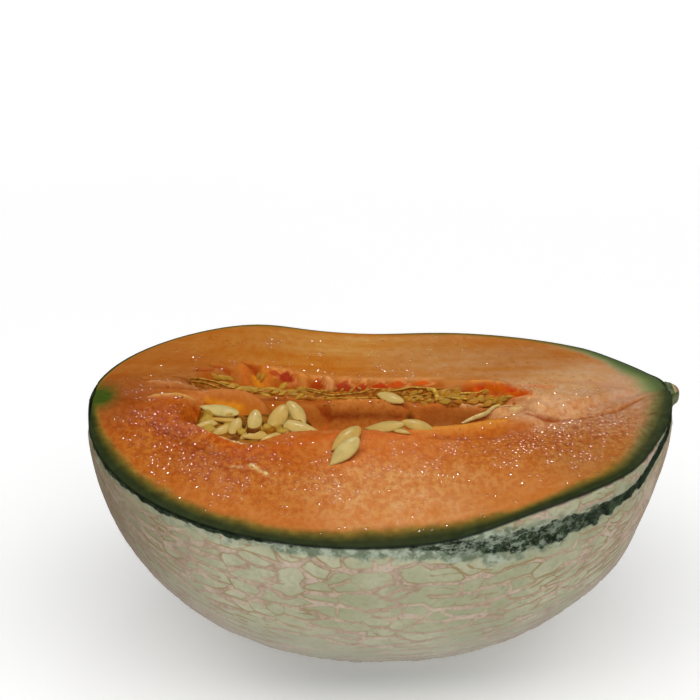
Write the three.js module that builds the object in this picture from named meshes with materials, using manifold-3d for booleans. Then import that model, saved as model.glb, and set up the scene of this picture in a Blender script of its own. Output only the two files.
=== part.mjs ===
// Half of a ripe netted melon, cut lengthwise from stem to blossom end and resting on its rind.
//
// Millimetres, +Z up. While the pieces are made, the fruit's own axis is the X axis: the blossom
// end is at -X, the stub of the stem at +X, and the side that faces a viewer is -Y. The whole group
// is then moved so that its origin is the middle of its footprint, on the surface it rests on.
//
// The fruit is a solid of revolution with a slightly square profile. Two knife strokes met near the
// axis, so the cut face falls a few degrees towards both rims. The seed hollow is sunk in the face,
// with a rolled shelf along its back wall and a tongue of flesh at its blossom end.
import * as THREE from "three";
import { mergeVertices } from "three/addons/utils/BufferGeometryUtils.js";
import Module from "manifold-3d";

const wasm = await Module();
wasm.setup();

const DEGREE = Math.PI / 180;

// The whole fruit: half its length, its radius, and how square its profile is. The stem end is
// drawn in by a share of its radius, and the flat spot underneath lets the half rest.
const FRUIT = { halfLength: 75, radius: 68.3, squareness: 2.15, drawnIn: 0.14, flatSpotDepth: 1.2 };
const STEM = { radius: 3.1, reach: 2.5, lift: 0.9, riseLength: 3 };

// Dark stripes run from end to end in shallow grooves, at these angles below the front horizon
const GROOVE = { angles: [8.6, 63, 108, 157], depth: 0.7, halfWidth: 3.2 };

// The cut face: how far it dips at the axis, its gentle waves near the ends, and the step between
// the two strokes, which runs in from the hollow to the stem
const CUT = { axisDip: 2.2, bow: 1.5, waveHeight: 0.45, waveLength: 19.5, stepDrop: 1.4 };
const STEP = { startY: -17, endY: 5.5, startX: 24, endX: 74, width: 4, reach: 9 };

// The seed hollow, with the pocket at the blossom end where its lips swing out
const HOLLOW = {
  from: -54,
  to: 43,
  frontLip: -14.6,
  backLip: 15,
  shelfDepth: 5.2,
  floorDepth: 10.8,
  shelfEdge: 8.6,
  frontSlope: 9.5,
  rollHeight: 0.9,
};
const POCKET = {
  frontX: -34.5,
  frontSwing: 6.9,
  backX: -35.5,
  backSwing: 11.2,
  wallX: -38,
  wallSlope: 4.6,
  shallower: 3.2,
  floorSlope: 9,
};
const TONGUE = { y: 9.5, height: 4.4, frontWidth: 7.5, backWidth: 4.2, turn: 11 };

const SEED = { length: 11.4, width: 4.7, thickness: 1.9 };
const CLEARANCE = 0.55;

// How closely the surfaces are divided
const MESH = { rindLines: 10.5 * DEGREE, overHollow: 22, shares: [1, 0.93, 0.8, 0.6, 0.38, 0.18] };

// Small helpers: a bell round a centre, and a smooth ramp from 0 to 1
const clamp = (v, low, high) => Math.min(high, Math.max(low, v));
const bell = (v, centre, width) => Math.exp(-(((v - centre) / width) ** 2));
const ramp = (v, from, to) => {
  const t = clamp((v - from) / (to - from), 0, 1);
  return t * t * (3 - 2 * t);
};

// Radius of the fruit at a distance x along its axis
function fruitRadius(x) {
  const t = clamp(Math.abs(x) / FRUIT.halfLength, 0, 1);
  const drawnIn = 1 - FRUIT.drawnIn * ramp(x, 58, 73);
  return FRUIT.radius * (1 - t ** FRUIT.squareness) ** (1 / FRUIT.squareness) * drawnIn;
}

function grooveAt(radius, angle) {
  const across = (line) => (angle - line * DEGREE) * radius;
  const sink = GROOVE.angles.reduce((sum, g) => sum + bell(across(g), 0, GROOVE.halfWidth), 0);
  return GROOVE.depth * ramp(radius, 6, 30) * Math.min(sink, 1);
}

// Angles below the horizon at which the two knife strokes leave the rind
const frontDrop = (x) => (3.6 - 3.4 * Math.tanh((x - 24) / 16)) * DEGREE;
const backDrop = (x) => (6.3 + 2.3 * Math.tanh((x + 25) / 12) + 0.7 * bell(x, 2, 16)) * DEGREE;

// The cut rises over the last few millimetres and leaves the stub of the stem nearly whole
const stemLift = (x) =>
  STEM.lift * ramp(x, FRUIT.halfLength - STEM.riseLength, FRUIT.halfLength + 0.8);

// Point of the rind at an angle below the front horizon
function rindPoint(x, radius, angle) {
  const r = radius - grooveAt(radius, angle);
  const underside = FRUIT.flatSpotDepth - FRUIT.radius;
  return new THREE.Vector3(x, -r * Math.cos(angle), Math.max(-r * Math.sin(angle), underside));
}

// Front and back rim angles at a station, both measured from the front horizon
function rimAngles(x, radius) {
  const lift = stemLift(x);
  const rise = (drop) => Math.asin(clamp(Math.sin(drop) - lift / radius, -0.6, 0.9));
  return [rise(frontDrop(x)), Math.PI - rise(backDrop(x))];
}

// Lines along the rind from the front rim round to the back one: three on each groove, to give it
// its depth, and others between them
function rindAngles(frontAngle, backAngle) {
  const side = GROOVE.halfWidth / FRUIT.radius;
  const angles = [frontAngle];
  for (const [i, line] of GROOVE.angles.entries()) {
    const centre = line * DEGREE;
    const from = angles[angles.length - 1];
    const near = i ? centre - side : (frontAngle + centre) / 2;
    const count = i ? Math.ceil((near - from) / MESH.rindLines) : 1;
    for (let k = 1; k <= count; k++) angles.push(from + ((near - from) * k) / count);
    angles.push(centre, centre + side);
  }
  angles.push((angles[angles.length - 1] + backAngle) / 2, backAngle);
  return angles;
}

// The two lips of the hollow. They close a little towards the stem end.
const frontLip = (x) =>
  HOLLOW.frontLip -
  POCKET.frontSwing * bell(x, POCKET.frontX, 8) +
  4 * ramp(-x, 42, 52) +
  10 * ramp(x, 14, 52);
const backLip = (x) =>
  HOLLOW.backLip + POCKET.backSwing * bell(x, POCKET.backX, 15.5) - 10 * ramp(x, 22, 44);

// Depth of the hollow: a back wall down to the shelf, a second drop to the floor, and a long rise
// to the front lip. The tongue fills it from the blossom end and dies out along a slant.
function hollowDepth(x, y) {
  const ends = ramp(x, HOLLOW.from, HOLLOW.from + 9) * (1 - ramp(x, HOLLOW.to - 16, HOLLOW.to));
  if (ends <= 0) return 0;
  const wallWidth = 2.6 + POCKET.wallSlope * bell(x, POCKET.wallX, 13) + 3.4 * ramp(x, 8, 22);
  const toShelf = HOLLOW.shelfDepth * ramp(backLip(x) + 0.6 - y, 0, wallWidth);
  const edge = HOLLOW.shelfEdge - 5 * ramp(x, 12, 36);
  const floorDepth = HOLLOW.floorDepth - POCKET.shallower * ramp(-x, 24, 40);
  const edgeWidth = 3.4 + POCKET.floorSlope * ramp(-x, 20, 34);
  const toFloor = (floorDepth - HOLLOW.shelfDepth) * ramp(edge + 0.9 - y, 0, edgeWidth);
  const roll = HOLLOW.rollHeight * bell(y, edge + 3, 2.6) * bell(x, -6, 14);
  const crest = TONGUE.y - TONGUE.turn * ramp(x, -40, -20);
  const crestWidth = y < crest ? TONGUE.frontWidth : TONGUE.backWidth;
  const tongue = TONGUE.height * bell(y, crest, crestWidth) * (1 - ramp(x, -33, -17));
  const frontWall = ramp(y - frontLip(x) + 0.8, 0, HOLLOW.frontSlope);
  return Math.max((toShelf + toFloor - roll - tongue) * frontWall, 0) * ends;
}

// Line of the step between the two strokes
const stepLine = (x) => STEP.startY + (STEP.endY - STEP.startY) * ramp(x, STEP.startX, STEP.endX);

function cutRelief(x, y) {
  const nearEnds = ramp(Math.abs(x), 30, 62) * bell(y, 2, 14);
  const waves = CUT.waveHeight * Math.sin((2 * Math.PI * y) / CUT.waveLength + x / 21) * nearEnds;
  const line = stepLine(x);
  const along = ramp(x, 8, 36) * (1 - ramp(x, 64, 73));
  const lower = 1 - ramp(y, line - 0.65 * STEP.width, line + 0.35 * STEP.width);
  return waves - CUT.stepDrop * lower * bell(y, line - 2, STEP.reach) * along;
}

function faceHeight(x, y, frontRim, backRim) {
  const rim = y < 0 ? frontRim : backRim;
  const s = clamp(Math.abs(y) / Math.max(Math.abs(rim.y), 1e-6), 0, 1);
  const middle = -CUT.axisDip * (1 - (x / FRUIT.halfLength) ** 2) + stemLift(x);
  const plain = middle + (rim.z - middle) * s ** CUT.bow;
  return plain + cutRelief(x, y) * (1 - s ** 4) - hollowDepth(x, y);
}

// Height of the face anywhere inside the rim
function faceAt(x, y) {
  const radius = fruitRadius(x);
  const [front, back] = rimAngles(x, radius);
  return faceHeight(x, y, rindPoint(x, radius, front), rindPoint(x, radius, back));
}

// Stations along the axis and the radius at each: close together over the hollow, and round the
// stub of the stem, which flares into the fruit
function stations() {
  const { halfLength } = FRUIT;
  const list = [];
  const add = (from, to, count) => {
    for (let i = 0; i < count; i++) list.push(from + ((to - from) * i) / count);
  };
  add(-halfLength + 0.35, -70, 3);
  add(-70, HOLLOW.from, 5);
  add(HOLLOW.from, HOLLOW.to + 1, 48);
  add(HOLLOW.to + 1, 70, 10);
  add(70, halfLength - 0.8, 3);
  const rows = list.map((x) => [x, fruitRadius(x)]);
  const neck = fruitRadius(halfLength - 0.8);
  const flare = (share) => share * neck + (1 - share) * STEM.radius;
  const end = halfLength + STEM.reach;
  const stub = [
    [halfLength - 0.8, neck],
    [halfLength - 0.1, flare(0.45)],
    [halfLength + 0.8, flare(0.12)],
    [end - 0.7, 0.97 * STEM.radius],
    [end - 0.15, 0.78 * STEM.radius],
  ];
  return { rows: rows.concat(stub), end };
}

// Places across the face at a station: a few between each rim and its lip, then an even row over
// the hollow, so that the lines of the mesh follow its lips and, past it, the step
function acrossFace(x, front, back) {
  const beforeStep = frontLip(x) - 1.2 - 5.2 * ramp(x, 2, 20);
  const alongStep = x > STEP.startX ? stepLine(x) - 3.4 : 0;
  const nearLip = Math.max(Math.min(beforeStep, alongStep), 0.5 * front);
  const farLip = Math.min(backLip(x) + 1.6, 0.5 * back);
  const places = MESH.shares.map((t) => nearLip + (front - nearLip) * t);
  for (let i = 0; i <= MESH.overHollow; i++) {
    places.push(nearLip + ((farLip - nearLip) * i) / MESH.overHollow);
  }
  return places.concat(MESH.shares.toReversed().map((t) => farLip + (back - farLip) * t));
}

// One closed skin: at each station a loop runs across the face and back under the rind, and a fan
// of triangles closes each end. Each four-sided patch is split along its more level diagonal.
function fruitGeometry() {
  const { rows, end } = stations();
  const points = [];
  const faces = [];
  for (const [x, radius] of rows) {
    const [frontAngle, backAngle] = rimAngles(x, radius);
    const front = rindPoint(x, radius, frontAngle);
    const back = rindPoint(x, radius, backAngle);
    for (const y of acrossFace(x, front.y, back.y).slice(1, -1)) {
      points.push(x, y, faceHeight(x, y, front, back));
    }
    for (const angle of rindAngles(frontAngle, backAngle).toReversed()) {
      points.push(...rindPoint(x, radius, angle).toArray());
    }
  }
  const loopSize = points.length / 3 / rows.length;
  const height = (i) => points[3 * i + 2];
  for (let i = 0; i + 1 < rows.length; i++) {
    for (let j = 0; j < loopSize; j++) {
      const a = i * loopSize + j;
      const b = i * loopSize + ((j + 1) % loopSize);
      const c = a + loopSize;
      const d = b + loopSize;
      if (Math.abs(height(a) - height(d)) < Math.abs(height(b) - height(c))) faces.push(a, c, d, a, d, b);
      else faces.push(a, c, b, b, c, d);
    }
  }
  const blossomEnd = points.length / 3;
  const lastLoop = (rows.length - 1) * loopSize;
  points.push(-FRUIT.halfLength, 0, -0.4, end, 0, 0);
  for (let j = 0; j < loopSize; j++) {
    const next = (j + 1) % loopSize;
    faces.push(blossomEnd, j, next, blossomEnd + 1, lastLoop + next, lastLoop + j);
  }
  return indexed(points, faces);
}

function indexed(points, faces) {
  const g = new THREE.BufferGeometry();
  g.setAttribute("position", new THREE.Float32BufferAttribute(points, 3));
  g.setIndex(faces);
  return g;
}

// Joins rings of points, each with the same number of sides, into a closed skin with two tips
function ringsToSolid(rings, firstTip, lastTip) {
  const sides = rings[0].length;
  const points = rings.flat().concat([firstTip, lastTip]);
  const faces = [];
  const tip = rings.length * sides;
  for (let k = 0; k < sides; k++) {
    const n = (k + 1) % sides;
    for (let i = 0; i + 1 < rings.length; i++) {
      const a = i * sides;
      faces.push(a + k, a + n, a + sides + k, a + n, a + sides + n, a + sides + k);
    }
    faces.push(tip, n, k, tip + 1, tip - sides + k, tip - sides + n);
  }
  return indexed(points.flatMap((p) => p.toArray()), faces);
}

// A flat seed, pointed at its first end and blunt at its last: ellipses along its length
function seedGeometry(size, sides, cuts) {
  const rings = cuts.map((t) => {
    const swell = Math.sin(Math.PI * t ** 1.25);
    const wide = 0.5 * SEED.width * swell ** 0.72;
    const thick = 0.5 * SEED.thickness * swell ** 0.5;
    return Array.from({ length: sides }, (_, k) => {
      const a = (2 * Math.PI * k) / sides;
      return new THREE.Vector3((t - 0.5) * SEED.length, wide * Math.cos(a), thick * Math.sin(a));
    });
  });
  const half = SEED.length / 2;
  const seed = ringsToSolid(rings, new THREE.Vector3(-half, 0, 0), new THREE.Vector3(half, 0, 0));
  return seed.scale(size, size, size);
}

// A seed with its middle at (x, y, z): heading turns its blunt end in plan, lift raises that end,
// and bank rolls it about its own length. Angles are in degrees. Small seeds have fewer sides.
function placedSeed({ x, y, z, heading, lift, bank, size }) {
  const [sides, cuts] = size > 0.7 ? [7, [0.1, 0.36, 0.64, 0.9]] : [5, [0.14, 0.46, 0.82]];
  const turn = new THREE.Euler(bank * DEGREE, -lift * DEGREE, heading * DEGREE, "ZYX");
  const place = new THREE.Matrix4().makeRotationFromEuler(turn).setPosition(x, y, z);
  return solid(seedGeometry(size, sides, cuts).applyMatrix4(place));
}

// A closed tube along a curve, of a radius that depends on x
function tube(curve, radiusAt, steps, sides) {
  const rings = [];
  for (let i = 0; i <= steps; i++) {
    const p = curve.getPointAt(i / steps);
    const along = curve.getTangentAt(i / steps);
    const across = new THREE.Vector3(0, 0, 1).cross(along).normalize();
    const upright = along.clone().cross(across);
    const ring = [];
    for (let k = 0; k < sides; k++) {
      const a = (2 * Math.PI * k) / sides;
      const q = p.clone().addScaledVector(across, radiusAt(p.x) * Math.cos(a));
      ring.push(q.addScaledVector(upright, radiusAt(p.x) * Math.sin(a)));
    }
    rings.push(ring);
  }
  return solid(ringsToSolid(rings, curve.getPointAt(0), curve.getPointAt(1)));
}

// A grid between a level underside and a height function over a box in plan, as one closed solid
function mound(box, nx, ny, underside, height) {
  const points = [];
  const faces = [];
  const at = (i, j, layer) => (layer * (nx + 1) + i) * (ny + 1) + j;
  for (const z of [() => underside, height]) {
    for (let i = 0; i <= nx; i++) {
      for (let j = 0; j <= ny; j++) {
        const x = box.x[0] + ((box.x[1] - box.x[0]) * i) / nx;
        const y = box.y[0] + ((box.y[1] - box.y[0]) * j) / ny;
        points.push(x, y, z(x, y));
      }
    }
  }
  const quad = (a, b, c, d) => faces.push(a, b, c, a, c, d);
  for (let i = 0; i < nx; i++) {
    for (let j = 0; j < ny; j++) {
      quad(at(i, j, 1), at(i + 1, j, 1), at(i + 1, j + 1, 1), at(i, j + 1, 1));
      quad(at(i, j, 0), at(i, j + 1, 0), at(i + 1, j + 1, 0), at(i + 1, j, 0));
    }
    quad(at(i, 0, 0), at(i + 1, 0, 0), at(i + 1, 0, 1), at(i, 0, 1));
    quad(at(i, ny, 0), at(i, ny, 1), at(i + 1, ny, 1), at(i + 1, ny, 0));
  }
  for (let j = 0; j < ny; j++) {
    quad(at(0, j, 0), at(0, j, 1), at(0, j + 1, 1), at(0, j + 1, 0));
    quad(at(nx, j, 0), at(nx, j + 1, 0), at(nx, j + 1, 1), at(nx, j, 1));
  }
  return solid(indexed(points, faces));
}

// Between a three.js geometry and a solid that can be joined or cut
function solid(geometry) {
  const g = geometry.clone();
  g.deleteAttribute("normal");
  g.deleteAttribute("uv");
  const merged = mergeVertices(g, 1e-4);
  return new wasm.Manifold(
    new wasm.Mesh({
      numProp: 3,
      vertProperties: new Float32Array(merged.attributes.position.array),
      triVerts: new Uint32Array(merged.index.array),
    }),
  );
}

function geometryOf(manifold) {
  const mesh = manifold.getMesh();
  const g = new THREE.BufferGeometry();
  g.setAttribute("position", new THREE.BufferAttribute(new Float32Array(mesh.vertProperties), 3));
  g.setIndex(new THREE.BufferAttribute(new Uint32Array(mesh.triVerts), 1));
  g.computeVertexNormals();
  return g;
}

function largestBody(manifold) {
  return manifold.decompose().reduce((a, b) => (b.volume() > a.volume() ? b : a));
}

// The flesh, grown by a clearance: it and copies of it moved up, to the front and to the back
function withClearance(body) {
  const moves = [[0, 0, 0], [0, 0, 1], [0, 1, 0.3], [0, -1, 0.3]];
  return wasm.Manifold.union(moves.map((m) => body.translate(m.map((v) => v * CLEARANCE))));
}

// Loose seeds, each raised above the flesh by "up": two crossed on the face, three on the front
// lip, one on the shelf, and one where the hollow closes towards the stem
const LOOSE_SEEDS = [
  { x: -9.6, y: -21.8, up: 1.3, heading: 49, lift: 13, bank: 18, size: 1.02 },
  { x: -10.1, y: -28.4, up: 1.5, heading: 49, lift: 19, bank: 16, size: 1.04 },
  { x: 0.4, y: -14.0, up: 0.9, heading: -17, lift: 13, bank: 14, size: 0.96 },
  { x: 9.2, y: -14.6, up: 0.7, heading: 158, lift: 6, bank: -18, size: 0.84 },
  { x: 4.4, y: -16.4, up: 0.4, heading: 140, lift: 0, bank: 0, size: 0.6 },
  { x: 2.6, y: 12.6, up: 1.3, heading: -38, lift: -4, bank: 12, size: 0.86 },
  { x: 25.4, y: -6.6, up: 1.0, heading: 32, lift: 8, bank: 20, size: 0.8 },
];

// The heap at the blossom end of the hollow, from its far end towards the middle
const HEAP_SEEDS = [
  { x: -41.6, y: -5.4, z: -1.1, heading: -22, lift: -2, bank: 12, size: 0.99 },
  { x: -40.8, y: -7.4, z: -2.9, heading: -20, lift: 2, bank: -14, size: 0.86 },
  { x: -44.3, y: -9.2, z: -3.1, heading: 30, lift: 0, bank: 12, size: 0.66 },
  { x: -40.6, y: -12.4, z: -3.6, heading: 42, lift: 4, bank: 20, size: 0.66 },
  { x: -37.3, y: -12.6, z: -3.1, heading: 74, lift: 20, bank: 6, size: 0.7 },
  { x: -34.6, y: -15.2, z: -3.8, heading: 62, lift: 10, bank: -8, size: 0.56 },
  { x: -32.4, y: -11.9, z: -1.9, heading: 84, lift: 22, bank: 6, size: 0.82 },
  { x: -31.8, y: -16.2, z: -3.5, heading: 24, lift: -6, bank: 18, size: 0.7 },
  { x: -26.9, y: -10.1, z: -2.2, heading: 64, lift: 24, bank: 10, size: 1.01 },
  { x: -21.6, y: -5.6, z: -2.7, heading: 116, lift: 22, bank: -4, size: 0.92 },
  { x: -21.3, y: -11.6, z: -3.3, heading: 160, lift: 4, bank: -14, size: 1.0 },
  { x: -28.0, y: -15.6, z: -4.0, heading: 40, lift: 0, bank: 4, size: 0.66 },
];

// Wet pulp under those seeds fills the pocket up to a lumpy top and dies out towards the floor
const HEAP = { x: [-50, -13], y: [-21, 4], underside: -15, edge: -12, depth: 8.2, lump: 0.4 };

// The strand of pulp on the shelf: its line in plan, and its row of small seeds
const STRAND_PLAN = [
  [-50, 17.6],
  [-45, 19.6],
  [-38, 20],
  [-31, 19.6],
  [-25, 18.4],
  [-18, 15.8],
  [-8, 14.2],
  [2, 13.8],
  [9, 13.2],
  [16, 11.2],
  [24, 10.2],
  [31, 6.8],
  [35.5, 3.4],
];
const STRAND_SEEDS = 16;
const strandRadius = (x) => 0.95 + 0.35 * bell(x, -36, 12) + 1.2 * bell(x, 19, 9);

function fleshAndRind() {
  let body = solid(fruitGeometry());
  for (const seed of LOOSE_SEEDS) {
    body = body.add(placedSeed({ ...seed, z: faceAt(seed.x, seed.y) + seed.up }));
  }
  return largestBody(body);
}

function seedHeap(keepOut) {
  const top = (x, y) => {
    const fill = ramp(x, -51, -46) * (1 - ramp(x, -21, -14)) * (1 - ramp(y, -3, 4));
    const lumps = HEAP.lump * Math.sin(x / 1.6) * Math.cos(y / 1.8);
    return HEAP.edge + (HEAP.depth + lumps - 0.05 * (x + 32)) * fill;
  };
  let heap = mound(HEAP, 18, 12, HEAP.underside, top);
  for (const seed of HEAP_SEEDS) heap = heap.add(placedSeed(seed));
  return largestBody(heap.subtract(keepOut));
}

function seedStrand(keepOut) {
  const raised = ([x, y]) => new THREE.Vector3(x, y, faceAt(x, y) + 0.75 * strandRadius(x) + 0.4);
  const line = new THREE.CatmullRomCurve3(STRAND_PLAN.map(raised));
  let strand = tube(line, strandRadius, 28, 5);
  for (let i = 0; i < STRAND_SEEDS; i++) {
    const p = line.getPointAt((i + 0.7) / (STRAND_SEEDS + 0.6));
    const side = i % 2 ? 1 : -1;
    const seed = {
      x: p.x,
      y: p.y + 0.55 * side * strandRadius(p.x),
      z: p.z + 0.55 * strandRadius(p.x),
      heading: 4 + 20 * side,
      lift: 8 * Math.sin(i * 2.1),
      bank: 24 + 12 * Math.cos(i * 1.7),
      size: 0.48 + 0.18 * bell(p.x, 20, 11) + 0.06 * (i % 3),
    };
    strand = strand.add(placedSeed(seed));
  }
  return largestBody(strand.subtract(keepOut));
}

function piece(name, manifold, color, roughness) {
  const material = new THREE.MeshStandardMaterial({ color, roughness, metalness: 0 });
  const mesh = new THREE.Mesh(geometryOf(manifold), material);
  mesh.name = name;
  return mesh;
}

const body = fleshAndRind();
const keepOut = withClearance(body);
const melon = new THREE.Group();
melon.add(piece("melon_half", body, 0xd07a36, 0.4));
melon.add(piece("seed_heap", seedHeap(keepOut), 0xd2b878, 0.3));
melon.add(piece("seed_strand", seedStrand(keepOut), 0xc8a548, 0.3));

const bounds = new THREE.Box3().setFromObject(melon);
const centre = bounds.getCenter(new THREE.Vector3());
melon.position.set(-centre.x, -centre.y, -bounds.min.z);

export default melon;
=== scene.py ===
import bpy
import numpy as np
from mathutils import Matrix, Vector


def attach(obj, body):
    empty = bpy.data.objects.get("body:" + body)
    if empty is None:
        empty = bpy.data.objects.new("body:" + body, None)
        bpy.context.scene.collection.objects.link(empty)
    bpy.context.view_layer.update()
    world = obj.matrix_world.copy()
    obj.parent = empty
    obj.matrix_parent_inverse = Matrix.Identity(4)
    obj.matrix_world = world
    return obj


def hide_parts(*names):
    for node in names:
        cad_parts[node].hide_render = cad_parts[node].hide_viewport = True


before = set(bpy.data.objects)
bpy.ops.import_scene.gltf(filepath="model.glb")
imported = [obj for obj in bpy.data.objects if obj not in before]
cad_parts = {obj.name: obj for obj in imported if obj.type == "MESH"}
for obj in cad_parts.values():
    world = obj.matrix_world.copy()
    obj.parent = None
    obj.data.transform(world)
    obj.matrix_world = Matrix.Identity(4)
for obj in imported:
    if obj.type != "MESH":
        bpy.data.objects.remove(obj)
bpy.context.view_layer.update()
degree = np.pi / 180
scene = bpy.context.scene


def bell(v, centre, width):  # e to the power -((v - centre) / width)^2
    return np.exp(-(((v - centre) / width) ** 2))


def ramp(v, low, high):  # 3t^2 - 2t^3 between low and high
    t = np.clip((v - low) / (high - low), 0, 1)
    return t * t * (3 - 2 * t)


def mix(a, b, t):  # a at t = 0, b at t = 1
    return a + (b - a) * t


latticeValues = np.random.default_rng(11).random(8192)


def latticeAt(ix, iy, iz, seed):  # the same random number each time for a lattice point
    n = (ix * 73856093) ^ (iy * 19349663) ^ (iz * 83492791) ^ (seed * 7368787)
    return latticeValues[n & 8191]


# Smooth noise from 0 to 1: random numbers at lattice points, blended by 3t^2 - 2t^3
def noise(x, y, z=0.0, seed=0):
    x, y, z = np.broadcast_arrays(np.asarray(x, float), y, z)
    cells = [np.floor(v).astype(np.int64) for v in (x, y, z)]
    t = [v - c for v, c in zip((x, y, z), cells)]
    t = [v * v * (3 - 2 * v) for v in t]
    total = np.zeros(x.shape)
    for corner in range(8):
        step = [(corner >> k) & 1 for k in range(3)]
        weight = np.ones(x.shape)
        for k in range(3):
            weight = weight * (t[k] if step[k] else 1 - t[k])
        total += weight * latticeAt(*[c + s for c, s in zip(cells, step)], seed)
    return total


def layers(x, y, z=0.0, seed=0, count=3):  # noise at halving sizes, still about 0 to 1
    parts = [noise(x * 2**k, y * 2**k, z * 2**k, seed + k) / 2**k for k in range(count)]
    return sum(parts) / sum(1 / 2**k for k in range(count))


def linear(r, g, b):  # 0-255 screen colour to linear light
    c = np.array([r, g, b], float) / 255
    return np.where(c <= 0.04045, c / 12.92, ((c + 0.055) / 1.055) ** 2.4)


fruit = {
    "halfLength": 75.0,
    "radius": 68.3,
    "squareness": 2.15,
    "drawnIn": 0.14,
    "flatSpot": 1.2,
    "stemRadius": 3.1,
    "stemLift": 0.9,
    "grooves": (8.6, 63, 108, 157),
    "grooveDepth": 0.7,
    "grooveHalfWidth": 3.2,
    "offset": (-1.25, 0.00874, 67.1),
}


def toFrame(points):  # millimetres round the axis to metres in the frame
    return (np.asarray(points) + fruit["offset"]) / 1000


# R (1 - t^2.15)^(1/2.15), drawn in by a share near the stem
def fruitRadius(x):
    t = np.clip(np.abs(x) / fruit["halfLength"], 0, 1)
    power = fruit["squareness"]
    return fruit["radius"] * (1 - t**power) ** (1 / power) * (1 - fruit["drawnIn"] * ramp(x, 58, 73))


def grooveSink(radius, angle):  # a bell across each groove, less near both ends
    sink = sum(bell((angle - g * degree) * radius, 0, fruit["grooveHalfWidth"]) for g in fruit["grooves"])
    return fruit["grooveDepth"] * ramp(radius, 6, 30) * np.minimum(sink, 1)


# Angles below the horizon where the two knife strokes leave the rind
def frontDrop(x):
    return (3.6 - 3.4 * np.tanh((x - 24) / 16)) * degree


def backDrop(x):
    return (6.3 + 2.3 * np.tanh((x + 25) / 12) + 0.7 * bell(x, 2, 16)) * degree


def stemLift(x):  # the cut rises where the stub begins
    return fruit["stemLift"] * ramp(x, 72, 75.8)


def rimAngles(x, radius):  # asin(sin(drop) - lift / R) below the horizon in front, mirrored at the back
    lift = stemLift(x) / radius
    front = np.arcsin(np.clip(np.sin(frontDrop(x)) - lift, -0.6, 0.9))
    back = np.pi - np.arcsin(np.clip(np.sin(backDrop(x)) - lift, -0.6, 0.9))
    return front, back


# Lips of the hollow and the edge of its shelf along x: a base line with bells and ramps on it
def frontLip(x):
    return -14.6 - 6.9 * bell(x, -34.5, 8) + 4 * ramp(-x, 42, 52) + 10 * ramp(x, 14, 52)


def backLip(x):
    return 15 + 11.2 * bell(x, -35.5, 15.5) - 10 * ramp(x, 22, 44)


def shelfEdge(x):
    return 8.6 - 5 * ramp(x, 12, 36)


# Depth of the seed hollow: a back wall down to the shelf, a drop to the floor, a long rise to the
# front lip, less the roll along the shelf's edge and the tongue at the blossom end
def hollowDepth(x, y):
    ends = ramp(x, -54, -45) * (1 - ramp(x, 27, 43))
    wallWidth = 2.6 + 4.6 * bell(x, -38, 13) + 3.4 * ramp(x, 8, 22)
    toShelf = 5.2 * ramp((backLip(x) + 0.6 - y) / wallWidth, 0, 1)
    edge = shelfEdge(x)
    drop = 5.6 - 3.2 * ramp(-x, 24, 40)
    toFloor = drop * ramp((edge + 0.9 - y) / (3.4 + 9 * ramp(-x, 20, 34)), 0, 1)
    roll = 0.9 * bell(y, edge + 3, 2.6) * bell(x, -6, 14)
    crest = 9.5 - 11 * ramp(x, -40, -20)
    tongue = 4.4 * bell(y, crest, np.where(y < crest, 7.5, 4.2)) * (1 - ramp(x, -33, -17))
    frontWall = ramp(y - frontLip(x) + 0.8, 0, 9.5)
    return np.maximum((toShelf + toFloor - roll - tongue) * frontWall, 0) * ends


def stepLine(x):
    return 5.5 - 22.5 * (1 - ramp(x, 24, 74))


# Sine waves near the ends, and the step between the two knife strokes: a ramp down at the step's
# line that a bell levels out again
def cutRelief(x, y):
    waves = 0.45 * np.sin(y / 3.1 + x / 21) * ramp(np.abs(x), 30, 62) * bell(y, 2, 14)
    line = stepLine(x)
    along = ramp(x, 8, 36) * (1 - ramp(x, 64, 73))
    return waves - 1.4 * (1 - ramp(y, line - 2.6, line + 1.4)) * bell(y, line - 2, 9) * along


def rims(x):  # (y, z) of the front and back rims at a station
    radius = fruitRadius(x)
    front, back = rimAngles(x, radius)
    sunk = [radius - grooveSink(radius, a) for a in (front, back)]
    return [(-r * np.cos(a), -r * np.sin(a)) for r, a in zip(sunk, (front, back))]


# The cut face without its hollow: from the dip of its middle to the height of the rim, by the share
# of the way to the rim to the power 1.5, plus the relief
def plainFace(x, y):
    (yf, zf), (yb, zb) = rims(x)
    rimY, rimZ = np.where(y < 0, yf, yb), np.where(y < 0, zf, zb)
    s = np.clip(np.abs(y) / np.maximum(np.abs(rimY), 1e-6), 0, 1)
    middle = -2.2 * (1 - (x / fruit["halfLength"]) ** 2) + stemLift(x)
    return middle + (rimZ - middle) * s**1.5 + cutRelief(x, y) * (1 - s**4)


def faceHeight(x, y):
    return plainFace(x, y) - hollowDepth(x, y)


def makePiece(name, points, faces, material, attributes, replaces):
    mesh = bpy.data.meshes.new(name)
    mesh.from_pydata(toFrame(points).tolist(), [], faces)
    mesh.polygons.foreach_set("use_smooth", np.ones(len(mesh.polygons), bool))
    for key, values in attributes.items():
        values = np.asarray(values, float)
        if values.ndim == 1:
            mesh.attributes.new(key, "FLOAT", "POINT").data.foreach_set("value", values)
        else:
            rgba = np.concatenate([values, np.ones((len(values), 1))], 1)
            mesh.attributes.new(key, "FLOAT_COLOR", "POINT").data.foreach_set("color", rgba.ravel())
    mesh.materials.append(material)
    mesh.update()
    piece = bpy.data.objects.new(name, mesh)
    scene.collection.objects.link(piece)
    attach(piece, "root")
    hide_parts(*replaces)
    print("piece", name, sum(len(p.vertices) - 2 for p in mesh.polygons), "triangles")


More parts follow.
